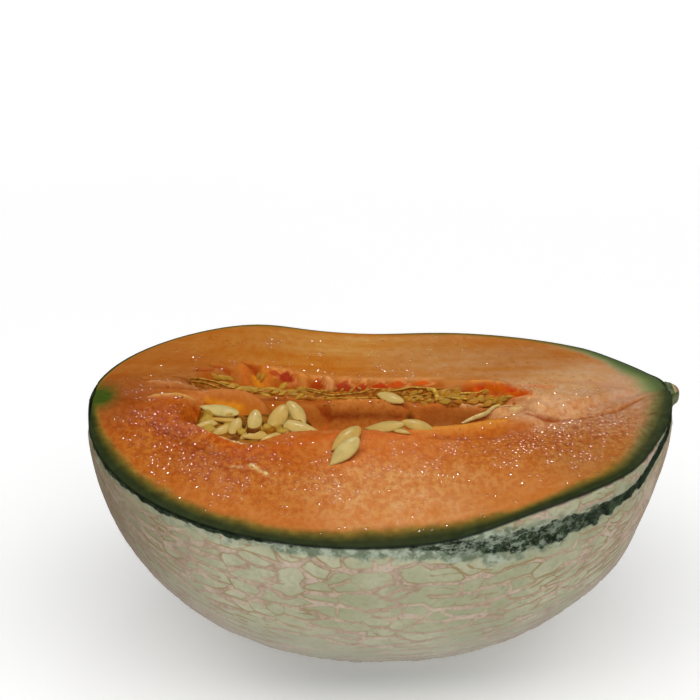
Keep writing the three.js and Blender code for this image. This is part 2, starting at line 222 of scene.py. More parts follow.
# Closed skin over loops of points (rows, columns, 3): four-sided faces from each loop to the next,
# and a fan at each end. flip turns it inside out.
def loopsToSkin(loops, flip=False):
    rows, columns, _ = loops.shape
    points = np.concatenate([loops.reshape(-1, 3), [loops[0].mean(0), loops[-1].mean(0)]])
    j = np.arange(columns)
    after = (j + 1) % columns
    start = np.arange(rows - 1)[:, None] * columns
    a, b = start + j, start + after
    faces = np.stack([a, a + columns, b + columns, b], -1).reshape(-1, 4)
    tip, last = rows * columns, (rows - 1) * columns
    first = np.stack([np.full(columns, tip), j, after], 1)
    end = np.stack([np.full(columns, tip + 1), last + after, last + j], 1)
    if flip:
        faces, first, end = faces[:, ::-1], first[:, ::-1], end[:, ::-1]
    return points, faces.tolist() + first.tolist() + end.tolist()


def joinSkins(skins):
    points, faces, count = [], [], 0
    for p, f in skins:
        points.append(p)
        faces += [[i + count for i in q] for q in f]
        count += len(p)
    return np.concatenate(points), faces


# Tilts of a surface along x and y: the difference of its heights a step to each side
def slopes(height, x, y, step):
    alongX = (height(x + step, y) - height(x - step, y)) / (2 * step)
    alongY = (height(x, y + step) - height(x, y - step)) / (2 * step)
    return alongX, alongY


def withTips(values, columns):  # a value per loop point, with the two tip points added
    grid = values.reshape(-1, columns, *values.shape[1:])
    return np.concatenate([values, [grid[0].mean(0), grid[-1].mean(0)]])


class Value:  # wraps a socket, so that sums on it add Math nodes
    def __init__(self, shader, socket):
        self.shader, self.socket = shader, socket

    def math(self, operation, *others):
        return self.shader.add("Math", {"operation": operation}, self, *others)

    def __add__(self, other):
        return self.math("ADD", other)

    def __sub__(self, other):
        return self.math("SUBTRACT", other)

    def __mul__(self, other):
        return self.math("MULTIPLY", other)

    def __rsub__(self, other):
        return self.shader.add("Math", {"operation": "SUBTRACT"}, other, self)

    __radd__ = __add__
    __rmul__ = __mul__

    def between(self, low, high):  # 0 below low, 1 above high, smooth between
        settings = {"interpolation_type": "SMOOTHSTEP"}
        return self.shader.add("MapRange", settings, **{"Value": self, "From Min": low, "From Max": high})


class Shader:  # one material and the nodes in it
    def __init__(self, name, **constants):
        self.material = bpy.data.materials.new(name)
        self.material.use_nodes = True
        self.tree = self.material.node_tree
        self.surface = self.tree.nodes["Principled BSDF"]
        self.finish(**constants)

    def fill(self, socket, value):
        if isinstance(value, Value):
            self.tree.links.new(value.socket, socket)
        elif isinstance(value, (tuple, list, np.ndarray)) and len(socket.default_value) == 4:
            socket.default_value = (*value, 1.0)
        else:
            socket.default_value = value

    # A node by its type, its settings, then values or links by place or by name
    def add(self, kind, settings=None, *places, output=0, **named):
        node = self.tree.nodes.new("ShaderNode" + kind)
        for key, value in (settings or {}).items():
            setattr(node, key, value)
        for k, value in enumerate(places):
            self.fill(node.inputs[k], value)
        for key, value in named.items():
            self.fill(node.inputs[key], value)
        return Value(self, node.outputs[output])

    def attribute(self, name, colour=False):
        return self.add("Attribute", {"attribute_name": name}, output="Color" if colour else "Fac")

    def grain(self, scale, detail=3.0, rough=0.55, stretch=(1, 1, 1)):  # noise on object coordinates
        where = self.add("Mapping", None, Vector=self.add("TexCoord", output="Object"), Scale=stretch)
        return self.add("TexNoise", None, Vector=where, Scale=scale, Detail=detail, Roughness=rough)

    def blend(self, factor, a, b, mode="MIX"):
        node = self.tree.nodes.new("ShaderNodeMix")
        node.data_type, node.blend_type = "RGBA", mode
        for key, value in (("Factor_Float", factor), ("A_Color", a), ("B_Color", b)):
            socket = next(s for s in node.inputs if s.identifier == key)
            self.fill(socket, value)
        return Value(self, next(s for s in node.outputs if s.identifier == "Result_Color"))

    def patches(self, mask, low, high, a, b):  # screen colour a where the mask is low, b where high
        return self.blend(mask.between(low, high), linear(*a), linear(*b))

    def times(self, colour, by):
        return self.blend(1.0, colour, by, "MULTIPLY")

    def bump(self, height, distance, strength, below=None):
        named = {"Height": height, "Distance": distance, "Strength": strength}
        if below:
            named["Normal"] = below
        return self.add("Bump", None, **named)

    def finish(self, **sockets):  # Base_Color for Base Color, and so on
        for key, value in sockets.items():
            self.fill(self.surface.inputs[key.replace("_", " ")], value)
        return self.material


look = {
    "elevation": 24.4,
    "yaw": 2.0,
    "distance": 0.52,
    "aim": (-0.00125, 0.0000087, 0.0671),
    "lens": 36 * 3.867 * 0.52 / 0.7,
    "shift": (-30.5 / 700, 45 / 700),
    "world": 0.015,
    "lights": {  # place, aim, sides, power, spread in degrees, seen by matt and by mirror reflection
        "soft": ((0, -0.7, 2.2), (0, 0, 0.05), (5.0, 2.8), 90, 180, True, False),
        "glint": ((0.0, 0.4, 0.69), (0, 0, 0.05), (0.09, 0.07), 3.2, 180, False, True),
        "key": ((0.1, -0.9, 0.4), (0, 0, 0.05), (0.9, 0.6), 0.7, 180, True, True),
        "far": ((0, 2.0, 1.6), (0, 2.0, 0), (4.0, 1.2), 80, 80, True, False),
    },
    "gain": 0.88,  # screen light of a white matt surface that lies level
    "haze": 0.003,  # screen light of a black one
    "floorSide": 6.0,
    "floorGlow": 0.25,
}


def shown(r, g, b):  # base colour that shows as this screen colour on a level surface in this light
    return np.clip((linear(r, g, b) - look["haze"]) / look["gain"], 0.004, 1)


def makeCamera():
    up, turn = look["elevation"] * degree, look["yaw"] * degree
    back = Vector((-np.sin(turn) * np.cos(up), -np.cos(turn) * np.cos(up), np.sin(up)))
    camera = bpy.data.objects.new("camera", bpy.data.cameras.new("camera"))
    camera.location = Vector(look["aim"]) + back * look["distance"]
    camera.rotation_euler = (-back).to_track_quat("-Z", "Y").to_euler()
    camera.data.sensor_width = 36
    camera.data.lens = look["lens"]
    camera.data.shift_x, camera.data.shift_y = look["shift"]
    camera.data.clip_start = 0.01
    scene.collection.objects.link(camera)
    scene.camera = camera


def addLight(name, place, aim, size, power, spread, matt, mirror):
    light = bpy.data.lights.new(name, "AREA")
    light.shape, light.size, light.size_y = "RECTANGLE", *size
    light.energy, light.spread = power, spread * degree
    lamp = bpy.data.objects.new(name, light)
    lamp.location = place
    lamp.visible_diffuse, lamp.visible_glossy = matt, mirror
    lamp.rotation_euler = (Vector(aim) - Vector(place)).to_track_quat("-Z", "Y").to_euler()
    scene.collection.objects.link(lamp)


def makeStage():
    mesh = bpy.data.meshes.new("floor")
    side = look["floorSide"] / 2
    corners = [(-side, -side, 0), (side, -side, 0), (side, side, 0), (-side, side, 0)]
    mesh.from_pydata(corners, [], [(0, 1, 2, 3)])
    glow = look["floorGlow"]
    paint = Shader("floor_paint", Roughness=0.9, Emission_Strength=glow, Emission_Color=(1, 1, 1))
    pale = paint.blend(paint.grain(3.0, 2.0).between(0.2, 0.9), (0.9, 0.9, 0.9), (0.93, 0.93, 0.93))
    mesh.materials.append(paint.finish(Base_Color=pale))
    floor = bpy.data.objects.new("floor", mesh)
    floor.visible_glossy = False
    scene.collection.objects.link(floor)
    world = bpy.data.worlds.new("studio")  # gives little light, but is white behind the floor
    world.use_nodes = True
    tree = world.node_tree
    dim, white = tree.nodes["Background"], tree.nodes.new("ShaderNodeBackground")
    for node, strength in ((dim, look["world"]), (white, 1.0)):
        node.inputs["Color"].default_value = (1, 1, 1, 1)
        node.inputs["Strength"].default_value = strength
    seen, both = tree.nodes.new("ShaderNodeLightPath"), tree.nodes.new("ShaderNodeMixShader")
    tree.links.new(seen.outputs["Is Camera Ray"], both.inputs[0])
    tree.links.new(dim.outputs[0], both.inputs[1])
    tree.links.new(white.outputs[0], both.inputs[2])
    tree.links.new(both.outputs[0], tree.nodes["World Output"].inputs["Surface"])
    scene.world = world
    for name, row in look["lights"].items():
        addLight(name, *row)
    scene.view_settings.view_transform = "Standard"


makeCamera()
makeStage()
print("stage ready")


rindSettings = {
    "stations": 420,
    "columns": 216,  # on each side, rim to underside
    "inner": (0.35, 1.2, 2.4),
    "netHeight": 0.5,
    "nets": {  # cell along and across, half width of its lines, share missing, warp, seed
        "broad": ((6.8, 4.7), 0.85, 0.1, 3.0, 3),
        "fine": ((14.0, 4.3), 0.6, 0.1, 2.6, 9),
        "hair": ((5.6, 3.6), 0.42, 0.93, 3.0, 17),
    },
    "stubFrom": 74.2,
}


# Distance in millimetres to the nearest line of a net, as positive inside the line. Cells are those
# nearest to jittered lattice points in stretched coordinates; each pair of neighbours has a line of
# its own half width, and some pairs have none.
def netLines(along, across, shrink, cell, halfWidth, missing, warp, seed):
    wobbleA = layers(along / 6.5, across / 4.5, 3.1, seed + 20) - 0.5
    wobbleB = layers(along / 6.5, across / 4.5, 8.7, seed + 30) - 0.5
    u = (along + warp * 2.2 * wobbleA) / cell[0]
    v = (across + warp * wobbleB) / cell[1]
    iu, iv = np.floor(u).astype(np.int64), np.floor(v).astype(np.int64)

    def pointOf(cu, cv):
        jitterU = 0.5 + 0.9 * (latticeAt(cu, cv, 1, seed) - 0.5)
        jitterV = 0.5 + 0.9 * (latticeAt(cu, cv, 2, seed) - 0.5)
        return cu + jitterU, cv + jitterV

    reach = [(du, dv) for du in range(-2, 3) for dv in range(-2, 3)]
    nearest = np.full(u.shape, 1e9)
    bestU, bestV = np.zeros_like(iu), np.zeros_like(iv)
    for du, dv in reach:
        pu, pv = pointOf(iu + du, iv + dv)
        gap = (pu - u) ** 2 + (pv - v) ** 2
        closer = gap < nearest
        nearest = np.where(closer, gap, nearest)
        bestU, bestV = np.where(closer, iu + du, bestU), np.where(closer, iv + dv, bestV)
    ownU, ownV = pointOf(bestU, bestV)
    inside = np.full(u.shape, -9.0)
    for du, dv in reach:
        cu, cv = bestU + du, bestV + dv
        pu, pv = pointOf(cu, cv)
        nu, nv = ownU - pu, ownV - pv
        size = np.sqrt(nu**2 + nv**2) + 1e-9
        nu, nv = nu / size, nv / size
        gap = (u - (ownU + pu) / 2) * nu + (v - (ownV + pv) / 2) * nv
        scaleUp = np.sqrt((nu / cell[0]) ** 2 + (nv / (cell[1] * shrink)) ** 2)
        pair = latticeAt(bestU + cu, bestV + cv, 5, seed)
        pairB = latticeAt(bestU + cu, bestV + cv, 6, seed)
        lengthwise = np.abs(nv)
        gone = (pair < missing * (1.6 - lengthwise)) | ((du == 0) & (dv == 0))
        width = halfWidth * (0.7 + 0.6 * pairB) * (0.65 + 0.5 * lengthwise)
        line = np.where(gone, -9.0, width - gap / scaleUp)
        high, low = np.maximum(inside, line), np.minimum(inside, line)
        inside = high + 0.1 * np.exp(-np.maximum(high - low, 0) / 0.3)
        inside = np.where(high < -8, -9.0, inside)
    return inside - 0.06


# Arc length along the fruit from the blossom end, out to where the stub begins
def meridian():
    t = np.linspace(0, 1, 4000)
    x = -fruit["halfLength"] * np.cos(np.pi * t)
    start, stem = rindSettings["stubFrom"], fruit["stemRadius"]
    x = x[x < start]
    radius = fruitRadius(x)
    neck = fruitRadius(start)
    stub = [(start, neck), (74.9, 0.45 * neck + 0.55 * stem), (75.8, 0.12 * neck + 0.88 * stem), (77.0, 3.05)]
    x = np.concatenate([x, [p[0] for p in stub]])
    radius = np.concatenate([radius, [p[1] for p in stub]])
    length = np.concatenate([[0], np.cumsum(np.hypot(np.diff(x), np.diff(radius)))])
    return length, x, radius


# Dark stripes down the grooves. The front one hugs the rim on the blossom side as a thin broken
# line over a mint fringe, then leaves the rim and widens towards the stem.
def stripeMask(along, angle, radius, x):
    mask = np.zeros(np.broadcast(along, angle).shape)
    fringe = np.zeros_like(mask)
    rag = (layers(along / 2.6, angle * radius / 1.6, 0.0, 71) - 0.5) * 2.6
    rag = rag + (noise(along / 14, angle * 6, 4.0, 75) - 0.5) * 1.6
    for k, g in enumerate(fruit["grooves"]):
        centre, wide, pale = g * degree, 2.5 * ramp(radius, 4, 34) + 0.4, 0.5
        if k == 0:
            away = ramp(x, -6, 30)
            centre = mix(frontDrop(x) + 0.8 / np.maximum(radius, 8), centre, away)
            wide = mix(1.0 - 1.0 * bell(x, -8, 17), 2.6 - 0.4 * ramp(x, 40, 62), away) * ramp(radius, 2, 20)
            pale = 0.35 + 0.65 * bell(x, 0, 34)
        off = np.abs((angle - centre) * radius) + rag
        mask = np.maximum(mask, (1 - ramp(off, wide - 0.7, wide + 0.7)) * ramp(wide, 0.05, 0.6))
        fringe = np.maximum(fringe, (1 - ramp(off, wide + 0.5, wide + 4.6)) * pale)
    return mask, fringe


def makeRind(name, material, back):
    settings = rindSettings
    length, lineX, lineR = meridian()
    s = np.linspace(0.25, length[-1], settings["stations"])[:, None]
    x, radius = np.interp(s, length, lineX), np.interp(s, length, lineR)
    dx, dr = np.gradient(x[:, 0])[:, None], np.gradient(radius[:, 0])[:, None]
    size = np.hypot(dx, dr)
    outX, outR = -dr / size, dx / size
    rim = rimAngles(x, radius)[1 if back else 0]
    t = np.linspace(0, 1, settings["columns"])[None, :]
    angle = mix(rim, np.pi / 2, t)
    along = s + 0 * angle
    across = angle * fruit["radius"]
    shrink = np.maximum(radius / fruit["radius"], 0.12) + 0 * angle
    stripe, fringe = stripeMask(along, angle, radius, x)
    fromFront = np.minimum(angle, np.pi - angle) / degree
    broad, fine, hair = [netLines(along, across, shrink, *net) for net in settings["nets"].values()]
    lower = ramp(fromFront + 10 * (noise(along / 18, across / 14, 0.0, 50) - 0.5), 30, 46)
    net = np.maximum(mix(broad, fine, lower), hair)
    fade = 1.9 * (layers(along / 9, across / 7, 2.0, 61) - 0.62)
    net = net + np.minimum(fade, 0) * 0.5 - 3.2 * stripe - 0.7 * fringe
    net = net - 1.2 * (1 - ramp(radius, 5, 14))
    # a corky strip between the rim and the stripe towards the stem
    fromRim = np.abs(angle - rim) * radius
    strip = ramp(x, 14, 30) * (1 - ramp(fromRim, 2.4, 4.6)) * (0 if back else 1)
    net = net + strip * (3.6 * layers(along / 2.4, across / 1.6, 0.0, 55) - 1.7)
    ridge = ramp(net, -0.1, 0.55) * (0.75 + 0.25 * ramp(net, 0.3, 1.2))
    swell = 0.12 * (layers(along / 7, across / 7, 0.0, 90) - 0.5)
    lift = settings["netHeight"] * ridge * ramp(radius, 3, 16) + swell
    lift = lift * ramp(fromRim, 0.0, 1.2) - 0.3 * bell(fromRim, 0, 0.5)
    r = radius - grooveSink(radius, angle) + outR * lift
    px = x + outX * lift
    underside = fruit["flatSpot"] - fruit["radius"]
    pz = np.maximum(-r * np.sin(angle), underside)
    outer = np.stack([px, -r * np.cos(angle), pz], -1)
    # the cut edge turns inwards under the flesh, and a plain inner skin closes the shell
    deep = settings["inner"]
    sign = 1 if back else -1
    rimY, rimZ = outer[:, 0, 1], outer[:, 0, 2]
    edge = []
    for k, d in enumerate(deep[:2]):
        y = sign * np.maximum(np.abs(rimY) - d, 0.2)
        edge.append(np.stack([x[:, 0], y, rimZ - 0.1 - 0.2 * k], -1))
    innerR = np.maximum(radius - deep[2], 0.4 * radius)
    innerAngles = mix(rim, np.pi / 2, np.linspace(0.06, 1, 9)[None, :])
    inner = np.stack([x + 0 * innerAngles, -innerR * np.cos(innerAngles), -innerR * np.sin(innerAngles)], -1)
    loops = np.concatenate([outer, inner[:, ::-1], np.stack(edge[::-1], 1)], 1)
    columns = loops.shape[1]
    extra = columns - settings["columns"]

    def padded(values, fill):
        return np.concatenate([values, np.full((len(values), extra), fill)], 1).ravel()

    points, faces = loopsToSkin(loops, flip=back)
    values = {
        "net": padded(net, -3.0),
        "stripe": padded(stripe, 0.0),
        "fringe": padded(fringe, 0.0),
        "rimGap": padded(fromRim, 0.0),
        "below": padded(fromFront + 0 * net, 0.0),
        "atX": padded(x + 0 * net, 0.0),
        "fromStem": padded(length[-1] - along, 0.0),
    }
    attributes = {k: withTips(v, columns) for k, v in values.items()}
    makePiece(name, points, faces, material, attributes, ["melon_half"])


def rindMaterial():
    m = Shader("netted_rind", Roughness=0.6, Specular_IOR_Level=0.15)
    net, stripe, fringe = m.attribute("net"), m.attribute("stripe"), m.attribute("fringe")
    below, atX = m.attribute("below"), m.attribute("atX")
    # pale skin, and cork along the net
    skin = m.patches(m.grain(60, 3), 0.35, 0.68, (170, 170, 138), (194, 192, 162))
    skin = m.blend(m.grain(700, 2).between(0.4, 0.75) * 0.35, skin, linear(146, 146, 108))
    cork = m.patches(m.grain(150, 4), 0.35, 0.7, (182, 160, 138), (204, 186, 166))
    cork = m.blend(m.grain(1100, 2).between(0.45, 0.8) * 0.4, cork, linear(148, 124, 102))
    colour = m.blend(net.between(-0.05, 0.12), skin, cork)
    edge = 1 - (net - 0.06).math("ABSOLUTE").between(0.03, 0.3)
    brown = m.patches(m.grain(90, 2), 0.4, 0.7, (144, 120, 62), (160, 132, 92))
    crack = 1 - (m.grain(150, 3, 0.6, (0.7, 1, 1)) - 0.5).math("ABSOLUTE").between(0.0, 0.035)
    colour = m.blend(crack * net.between(0.1, 0.4) * 0.45, colour, linear(150, 122, 96))
    low = below.between(24, 60)
    colour = m.blend(edge * m.grain(70, 3).between(0.3, 0.7) * (0.75 - low * 0.45), colour, brown)
    # painted light: paler and greyer underneath, making up for the shade under the fruit; painted shade:
    # darker and browner at the blossom end
    colour = m.blend(low * 0.55, colour, linear(184, 180, 176))
    colour = m.blend((1 - atX.between(-74, -36)) * 0.6, colour, linear(104, 90, 60))
    # stripes with a mint fringe, veiled in the middle of the fruit
    mint = m.patches(m.grain(330, 4, 0.65), 0.42, 0.6, (98, 116, 94), (172, 184, 164))
    colour = m.blend((fringe + (m.grain(300, 3) - 0.5) * 0.9).between(0.3, 0.75) * 0.85, colour, mint)
    dark = m.patches(m.grain(520, 4, 0.7), 0.4, 0.7, (24, 36, 20), (66, 82, 56))
    middle = 1 - (atX - 22).math("ABSOLUTE").between(8, 34)
    veil = m.grain(480, 5, 0.75, (0.6, 1, 1)).between(0.44, 0.6)
    dark = m.blend(veil * (middle * 0.85 + 0.05), dark, linear(146, 158, 138))
    ragged = (stripe + (m.grain(340, 5, 0.75) - 0.5) * (middle * 1.6 + 1.3)).between(0.25, 0.85)
    colour = m.blend(ragged, colour, dark)
    # dark cut edge, green stem end
    rimEdge = 1 - m.attribute("rimGap").between(0.3, 1.0)
    colour = m.blend(rimEdge * 0.96, colour, linear(16, 24, 14))
    stemEnd = 1 - m.attribute("fromStem").between(2.0, 11.0)
    colour = m.blend(stemEnd * 0.8, colour, linear(92, 104, 60))
    return m.finish(Base_Color=colour, Normal=m.bump(m.grain(1500, 3), 0.00008, 0.5))


rindPaint = rindMaterial()
makeRind("rind_front", rindPaint, back=False)
makeRind("rind_back", rindPaint, back=True)
print("rind ready")


fleshSettings = {
    "stations": 330,
    "columns": (84, 128, 56),  # rim to front lip, over the hollow, back lip to rim
    "rimGap": 0.3,
    "under": 9,
}


def pathGap(x, y, path):  # signed distance to a polyline and the share of its length, per point
    path = np.asarray(path, float)
    best, side, share = np.full(x.shape, 1e9), np.ones(x.shape), np.zeros(x.shape)
    steps = np.hypot(*np.diff(path, axis=0).T)
    done = np.concatenate([[0], np.cumsum(steps)]) / steps.sum()
    for k, (a, b) in enumerate(zip(path[:-1], path[1:])):
        dx, dy = b - a
        t = np.clip(((x - a[0]) * dx + (y - a[1]) * dy) / (dx * dx + dy * dy), 0, 1)
        gap = np.hypot(x - a[0] - t * dx, y - a[1] - t * dy)
        closer = gap < best
        turn = np.sign(dx * (y - a[1]) - dy * (x - a[0]))
        best, side = np.where(closer, gap, best), np.where(closer, turn, side)
        share = np.where(closer, mix(done[k], done[k + 1], t), share)
    return best, side, share


# Marks worked into the flesh: a path in plan, half widths to its left and right, height, screen
# colour, strength of colour. Each is a bell across the path that narrows towards both ends.
marks = [
    # pale edge along the back lip, and golden flesh behind it
    ([(-33, 28), (-26, 24.6), (-18, 19.8), (-8, 17.8), (6, 17.4), (16, 17)],
     2.2, 0.8, 0.2, (206, 138, 74), 0.6),
    ([(-40, 30), (-26, 27), (-14, 23), (6, 22), (20, 23)], 3.0, 3.0, 0.0, (190, 112, 40), 0.4),
    # deep orange wall behind the strand, brown wet shelf before it
    ([(-46, 20.6), (-34, 21.2), (-24, 18.8), (-10, 15.0), (4, 14.6), (16, 14.0)],
     2.2, 2.2, 0.0, (166, 80, 20), 0.8),
    ([(-38, 14.2), (-28, 13.2), (-18, 12.4), (-12, 11.8)], 2.6, 2.6, 0.0, (164, 84, 30), 0.7),
    # red slivers and lumps along the wall
    ([(-49, 22.5), (-44.5, 23.4)], 1.0, 1.0, -0.5, (150, 56, 16), 0.8),
    ([(-44.5, 26.4), (-40, 23.8)], 1.0, 1.0, -0.7, (150, 62, 18), 0.95),
    ([(-34.8, 28.2), (-33.2, 25.4), (-32.4, 23.4)], 1.2, 1.2, -0.8, (148, 56, 18), 1.0),
    ([(-33.2, 23.4), (-31.0, 21.0)], 1.2, 1.2, 0.5, (206, 130, 30), 0.9),
    ([(-13.6, 18.2), (-12.4, 15.6)], 1.3, 1.3, 0.8, (222, 154, 92), 0.9),
    ([(-20.8, 20.4), (-19.6, 17.6)], 1.2, 1.2, 0.7, (214, 140, 66), 0.85),
    ([(-22.6, 21.4), (-21.8, 19.0)], 0.9, 0.9, 0.5, (200, 100, 44), 0.7),
    ([(-31.0, 25.4), (-29.8, 21.4)], 1.3, 1.3, 0.8, (204, 116, 44), 0.7),
    ([(-36.8, 26.8), (-35.6, 22.4)], 1.4, 1.4, 0.5, (200, 102, 40), 0.6),
    # roll along the shelf, a painted shadow line under it, notch and end
    ([(-12.4, 10.8), (-4, 11.2), (5.6, 11.0)], 1.3, 1.5, 0.9, (190, 116, 52), 0.85),
    ([(-12.8, 8.2), (-4, 8.2), (6.2, 8.1)], 0.3, 0.5, -0.4, (120, 46, 10), 0.95),
    ([(-12.4, 9.4), (-4, 9.6), (5.6, 9.4)], 0.7, 0.6, 0.0, (178, 108, 52), 0.8),
    ([(-15.4, 9.8), (-13.4, 8.4)], 1.4, 1.4, -1.2, (130, 54, 20), 0.95),
    ([(6.0, 10.8), (7.4, 9.2)], 0.8, 0.8, -0.8, (140, 58, 22), 0.8),
    ([(-14.2, 6.4), (-12.9, 0), (-12.2, -10)], 1.2, 1.2, 0.9, (182, 84, 30), 0.7),
    ([(-17.2, 6), (-16.2, 0), (-15.6, -8)], 1.5, 1.5, 0.6, (190, 98, 38), 0.5),
    ([(-20.4, 5), (-19.6, 0)], 0.9, 0.9, -0.4, (140, 60, 16), 0.6),
    ([(-1.2, 13.4), (0.8, 12.6)], 0.8, 0.8, -0.2, (150, 66, 50), 0.6),
    ([(8.8, 12.4), (10.8, 11.6)], 1.1, 1.1, 0.2, (186, 84, 70), 0.8),
    # channel floor
    ([(-10, 5.4), (-2, 5.6), (7, 5.4)], 2.6, 3.4, 0.0, (176, 110, 48), 0.85),
    ([(13, 6.6), (21, 5.4), (27, 4.8)], 3.0, 2.2, -0.5, (150, 84, 34), 0.95),
    ([(14.4, 6.8), (18.6, 6.2)], 0.5, 0.5, 0.3, (166, 112, 66), 0.5),
    # painted shade: a near-black hole in the channel floor
    ([(7.6, 8.0), (8.8, 7.6)], 0.7, 0.7, -1.3, (30, 12, 6), 1.0),
    # folds where the hollow closes towards the stem
    ([(12, 8.9), (17, 8.9), (22, 8.8)], 0.9, 0.5, 0.9, (190, 104, 44), 0.8),
    ([(21.6, 8.4), (28.4, 8.0), (32.2, 5.8), (37.7, 3.1), (43, -2)], 0.6, 0.4, 0.9, (220, 168, 112), 0.9),
    ([(20, 10.2), (28, 9.0), (34, 5.6)], 0.8, 0.8, -0.5, (160, 80, 34), 0.7),
    ([(30, 4.2), (36, 0), (41, -6)], 1.8, 1.8, 0.9, (220, 166, 110), 0.9),
    ([(34.4, 2.8), (36.6, 1.2)], 0.7, 0.6, 0.4, (224, 192, 132), 0.9),
    ([(33, 1.0), (37, -4), (39.6, -9)], 0.9, 0.9, -0.5, (180, 112, 76), 0.6),
    ([(36, -7.6), (41, -10.8), (46, -10.6), (53, -10.6)], 0.6, 0.9, -0.9, (140, 60, 14), 0.95),
    ([(53, -10.8), (60, -8.4), (68.5, -1.2)], 1.0, 1.3, -0.5, (160, 92, 34), 0.85),
    ([(46, 12), (56, 10), (66, 4)], 1.6, 1.6, -0.2, (178, 120, 82), 0.5),
    # amber gel at the stem end of the strand, with red holes
    ([(23.5, 12.6), (29.0, 11.2), (32.5, 8.8), (35.5, 5.8), (38.6, 4.4)], 2.3, 2.3, 0.4, (190, 86, 14), 1.0),
    ([(24.6, 14.6), (29, 13.6), (33.4, 11.0)], 0.7, 0.7, 0.2, (218, 138, 58), 0.8),
    ([(29.4, 8.6), (32.2, 6.8), (34.8, 4.9)], 0.6, 0.6, 0.3, (224, 150, 40), 0.85),
    ([(19.4, 12.6), (24.0, 12.2)], 0.9, 0.9, -1.0, (148, 56, 24), 0.95),
    ([(26.4, 12.6), (27.6, 12.0)], 0.9, 0.7, -0.9, (184, 54, 10), 0.95),
    ([(34.0, 8.2), (35.6, 7.0)], 0.8, 0.7, -0.7, (188, 56, 14), 0.95),
    ([(34.8, 5.2), (37.4, 4.2)], 0.8, 0.8, -0.6, (184, 66, 14), 0.9),
    ([(37.6, 9.6), (46, 7.6)], 1.2, 1.2, 0.0, (206, 118, 76), 0.6),
    # golden ledge along the front lip, and a painted shadow in the dip in front of it
    ([(9, -15.4), (20, -14.8), (31, -12.8)], 1.8, 2.0, 0.45, (208, 134, 50), 0.85),
    ([(12, -19.0), (21, -19.2), (29, -18.0), (38, -13.6)], 1.2, 1.8, -0.5, (168, 84, 26), 0.7),
    # ridges of the tongue and the pleats above it
    ([(-58, 4.5), (-50, 5.2), (-43, 8.8), (-36, 8.4), (-30, 4.4)], 1.8, 2.4, 0.7, (188, 112, 56), 0.7),
    ([(-54, 17.6), (-44, 16.6), (-36, 14.8), (-28, 15.8), (-18, 13.8)], 0.8, 1.0, -0.6, (124, 64, 24), 0.8),
    ([(-60, 12.5), (-50, 12.2), (-42, 13.0), (-36, 12.4)], 1.5, 1.8, 0.5, (186, 128, 78), 0.7),
    ([(-60, 9.6), (-48, 9.6), (-40, 11.0)], 0.7, 0.7, -0.4, (142, 76, 32), 0.7),
    ([(-62, 15), (-52, 15), (-44, 15.4)], 0.9, 0.9, -0.3, (156, 92, 44), 0.5),
    ([(-48, 3.2), (-45.5, 1.2)], 1.5, 1.5, -0.7, (156, 62, 16), 0.95),
    ([(-45, 5.6), (-36, 3.8)], 1.1, 1.1, 0.2, (206, 126, 26), 0.8),
    ([(-60, 3.4), (-48.5, 5.0)], 0.5, 0.5, 0.3, (206, 160, 84), 0.7),
    # red wet flesh in front of the heap
    ([(-47, -12), (-42, -18), (-36, -24.6), (-28, -25), (-20, -19.6), (-12, -18)],
     2.4, 2.8, 0.35, (186, 88, 26), 0.8),
    ([(-12, -18.2), (-2, -17.4), (8, -18.6)], 1.6, 2.2, 0.2, (194, 96, 38), 0.6),
    ([(-40.5, -18.8), (-37.5, -20.6), (-34.2, -21.6)], 0.5, 0.7, 0.2, (222, 190, 130), 0.95),
    ([(-45.5, -14.5), (-42, -16.6)], 0.7, 0.8, 0.2, (196, 150, 92), 0.7),
    ([(-37.4, -32.0), (-35.2, -32.4)], 0.5, 0.7, 0.35, (230, 198, 136), 1.0),
    ([(-32.8, -31.4), (-30.8, -34.0), (-28.8, -35.9)], 0.6, 0.8, 0.35, (230, 198, 132), 1.0),
    ([(-58, -12), (-50, -20), (-42, -26)], 1.6, 1.6, -0.4, (146, 62, 20), 0.6),
    ([(-50, -24), (-42, -31), (-30, -34)], 1.4, 1.4, -0.3, (168, 80, 28), 0.5),
]

# Sockets that seeds left along the back wall: x, half width, top and bottom as distances seen below
# the lip, depth, colour
sockets = [
    (-28.0, 1.5, 0.2, 2.0, 0.6, (170, 70, 30)),
    (-24.6, 2.1, -0.2, 3.0, 1.1, (156, 52, 30)),
    (-16.4, 1.9, 0.2, 3.4, 1.0, (164, 62, 22)),
    (-9.4, 2.6, -0.2, 3.9, 1.1, (160, 58, 32)),
    (-4.6, 2.0, 0.4, 3.2, 0.9, (168, 58, 30)),
    (0.0, 2.4, 0.4, 2.4, 0.7, (180, 60, 24)),
    (5.0, 2.5, 0.0, 1.8, 0.8, (190, 74, 24)),
    (11.6, 2.3, 0.0, 1.3, 0.5, (198, 84, 24)),
]

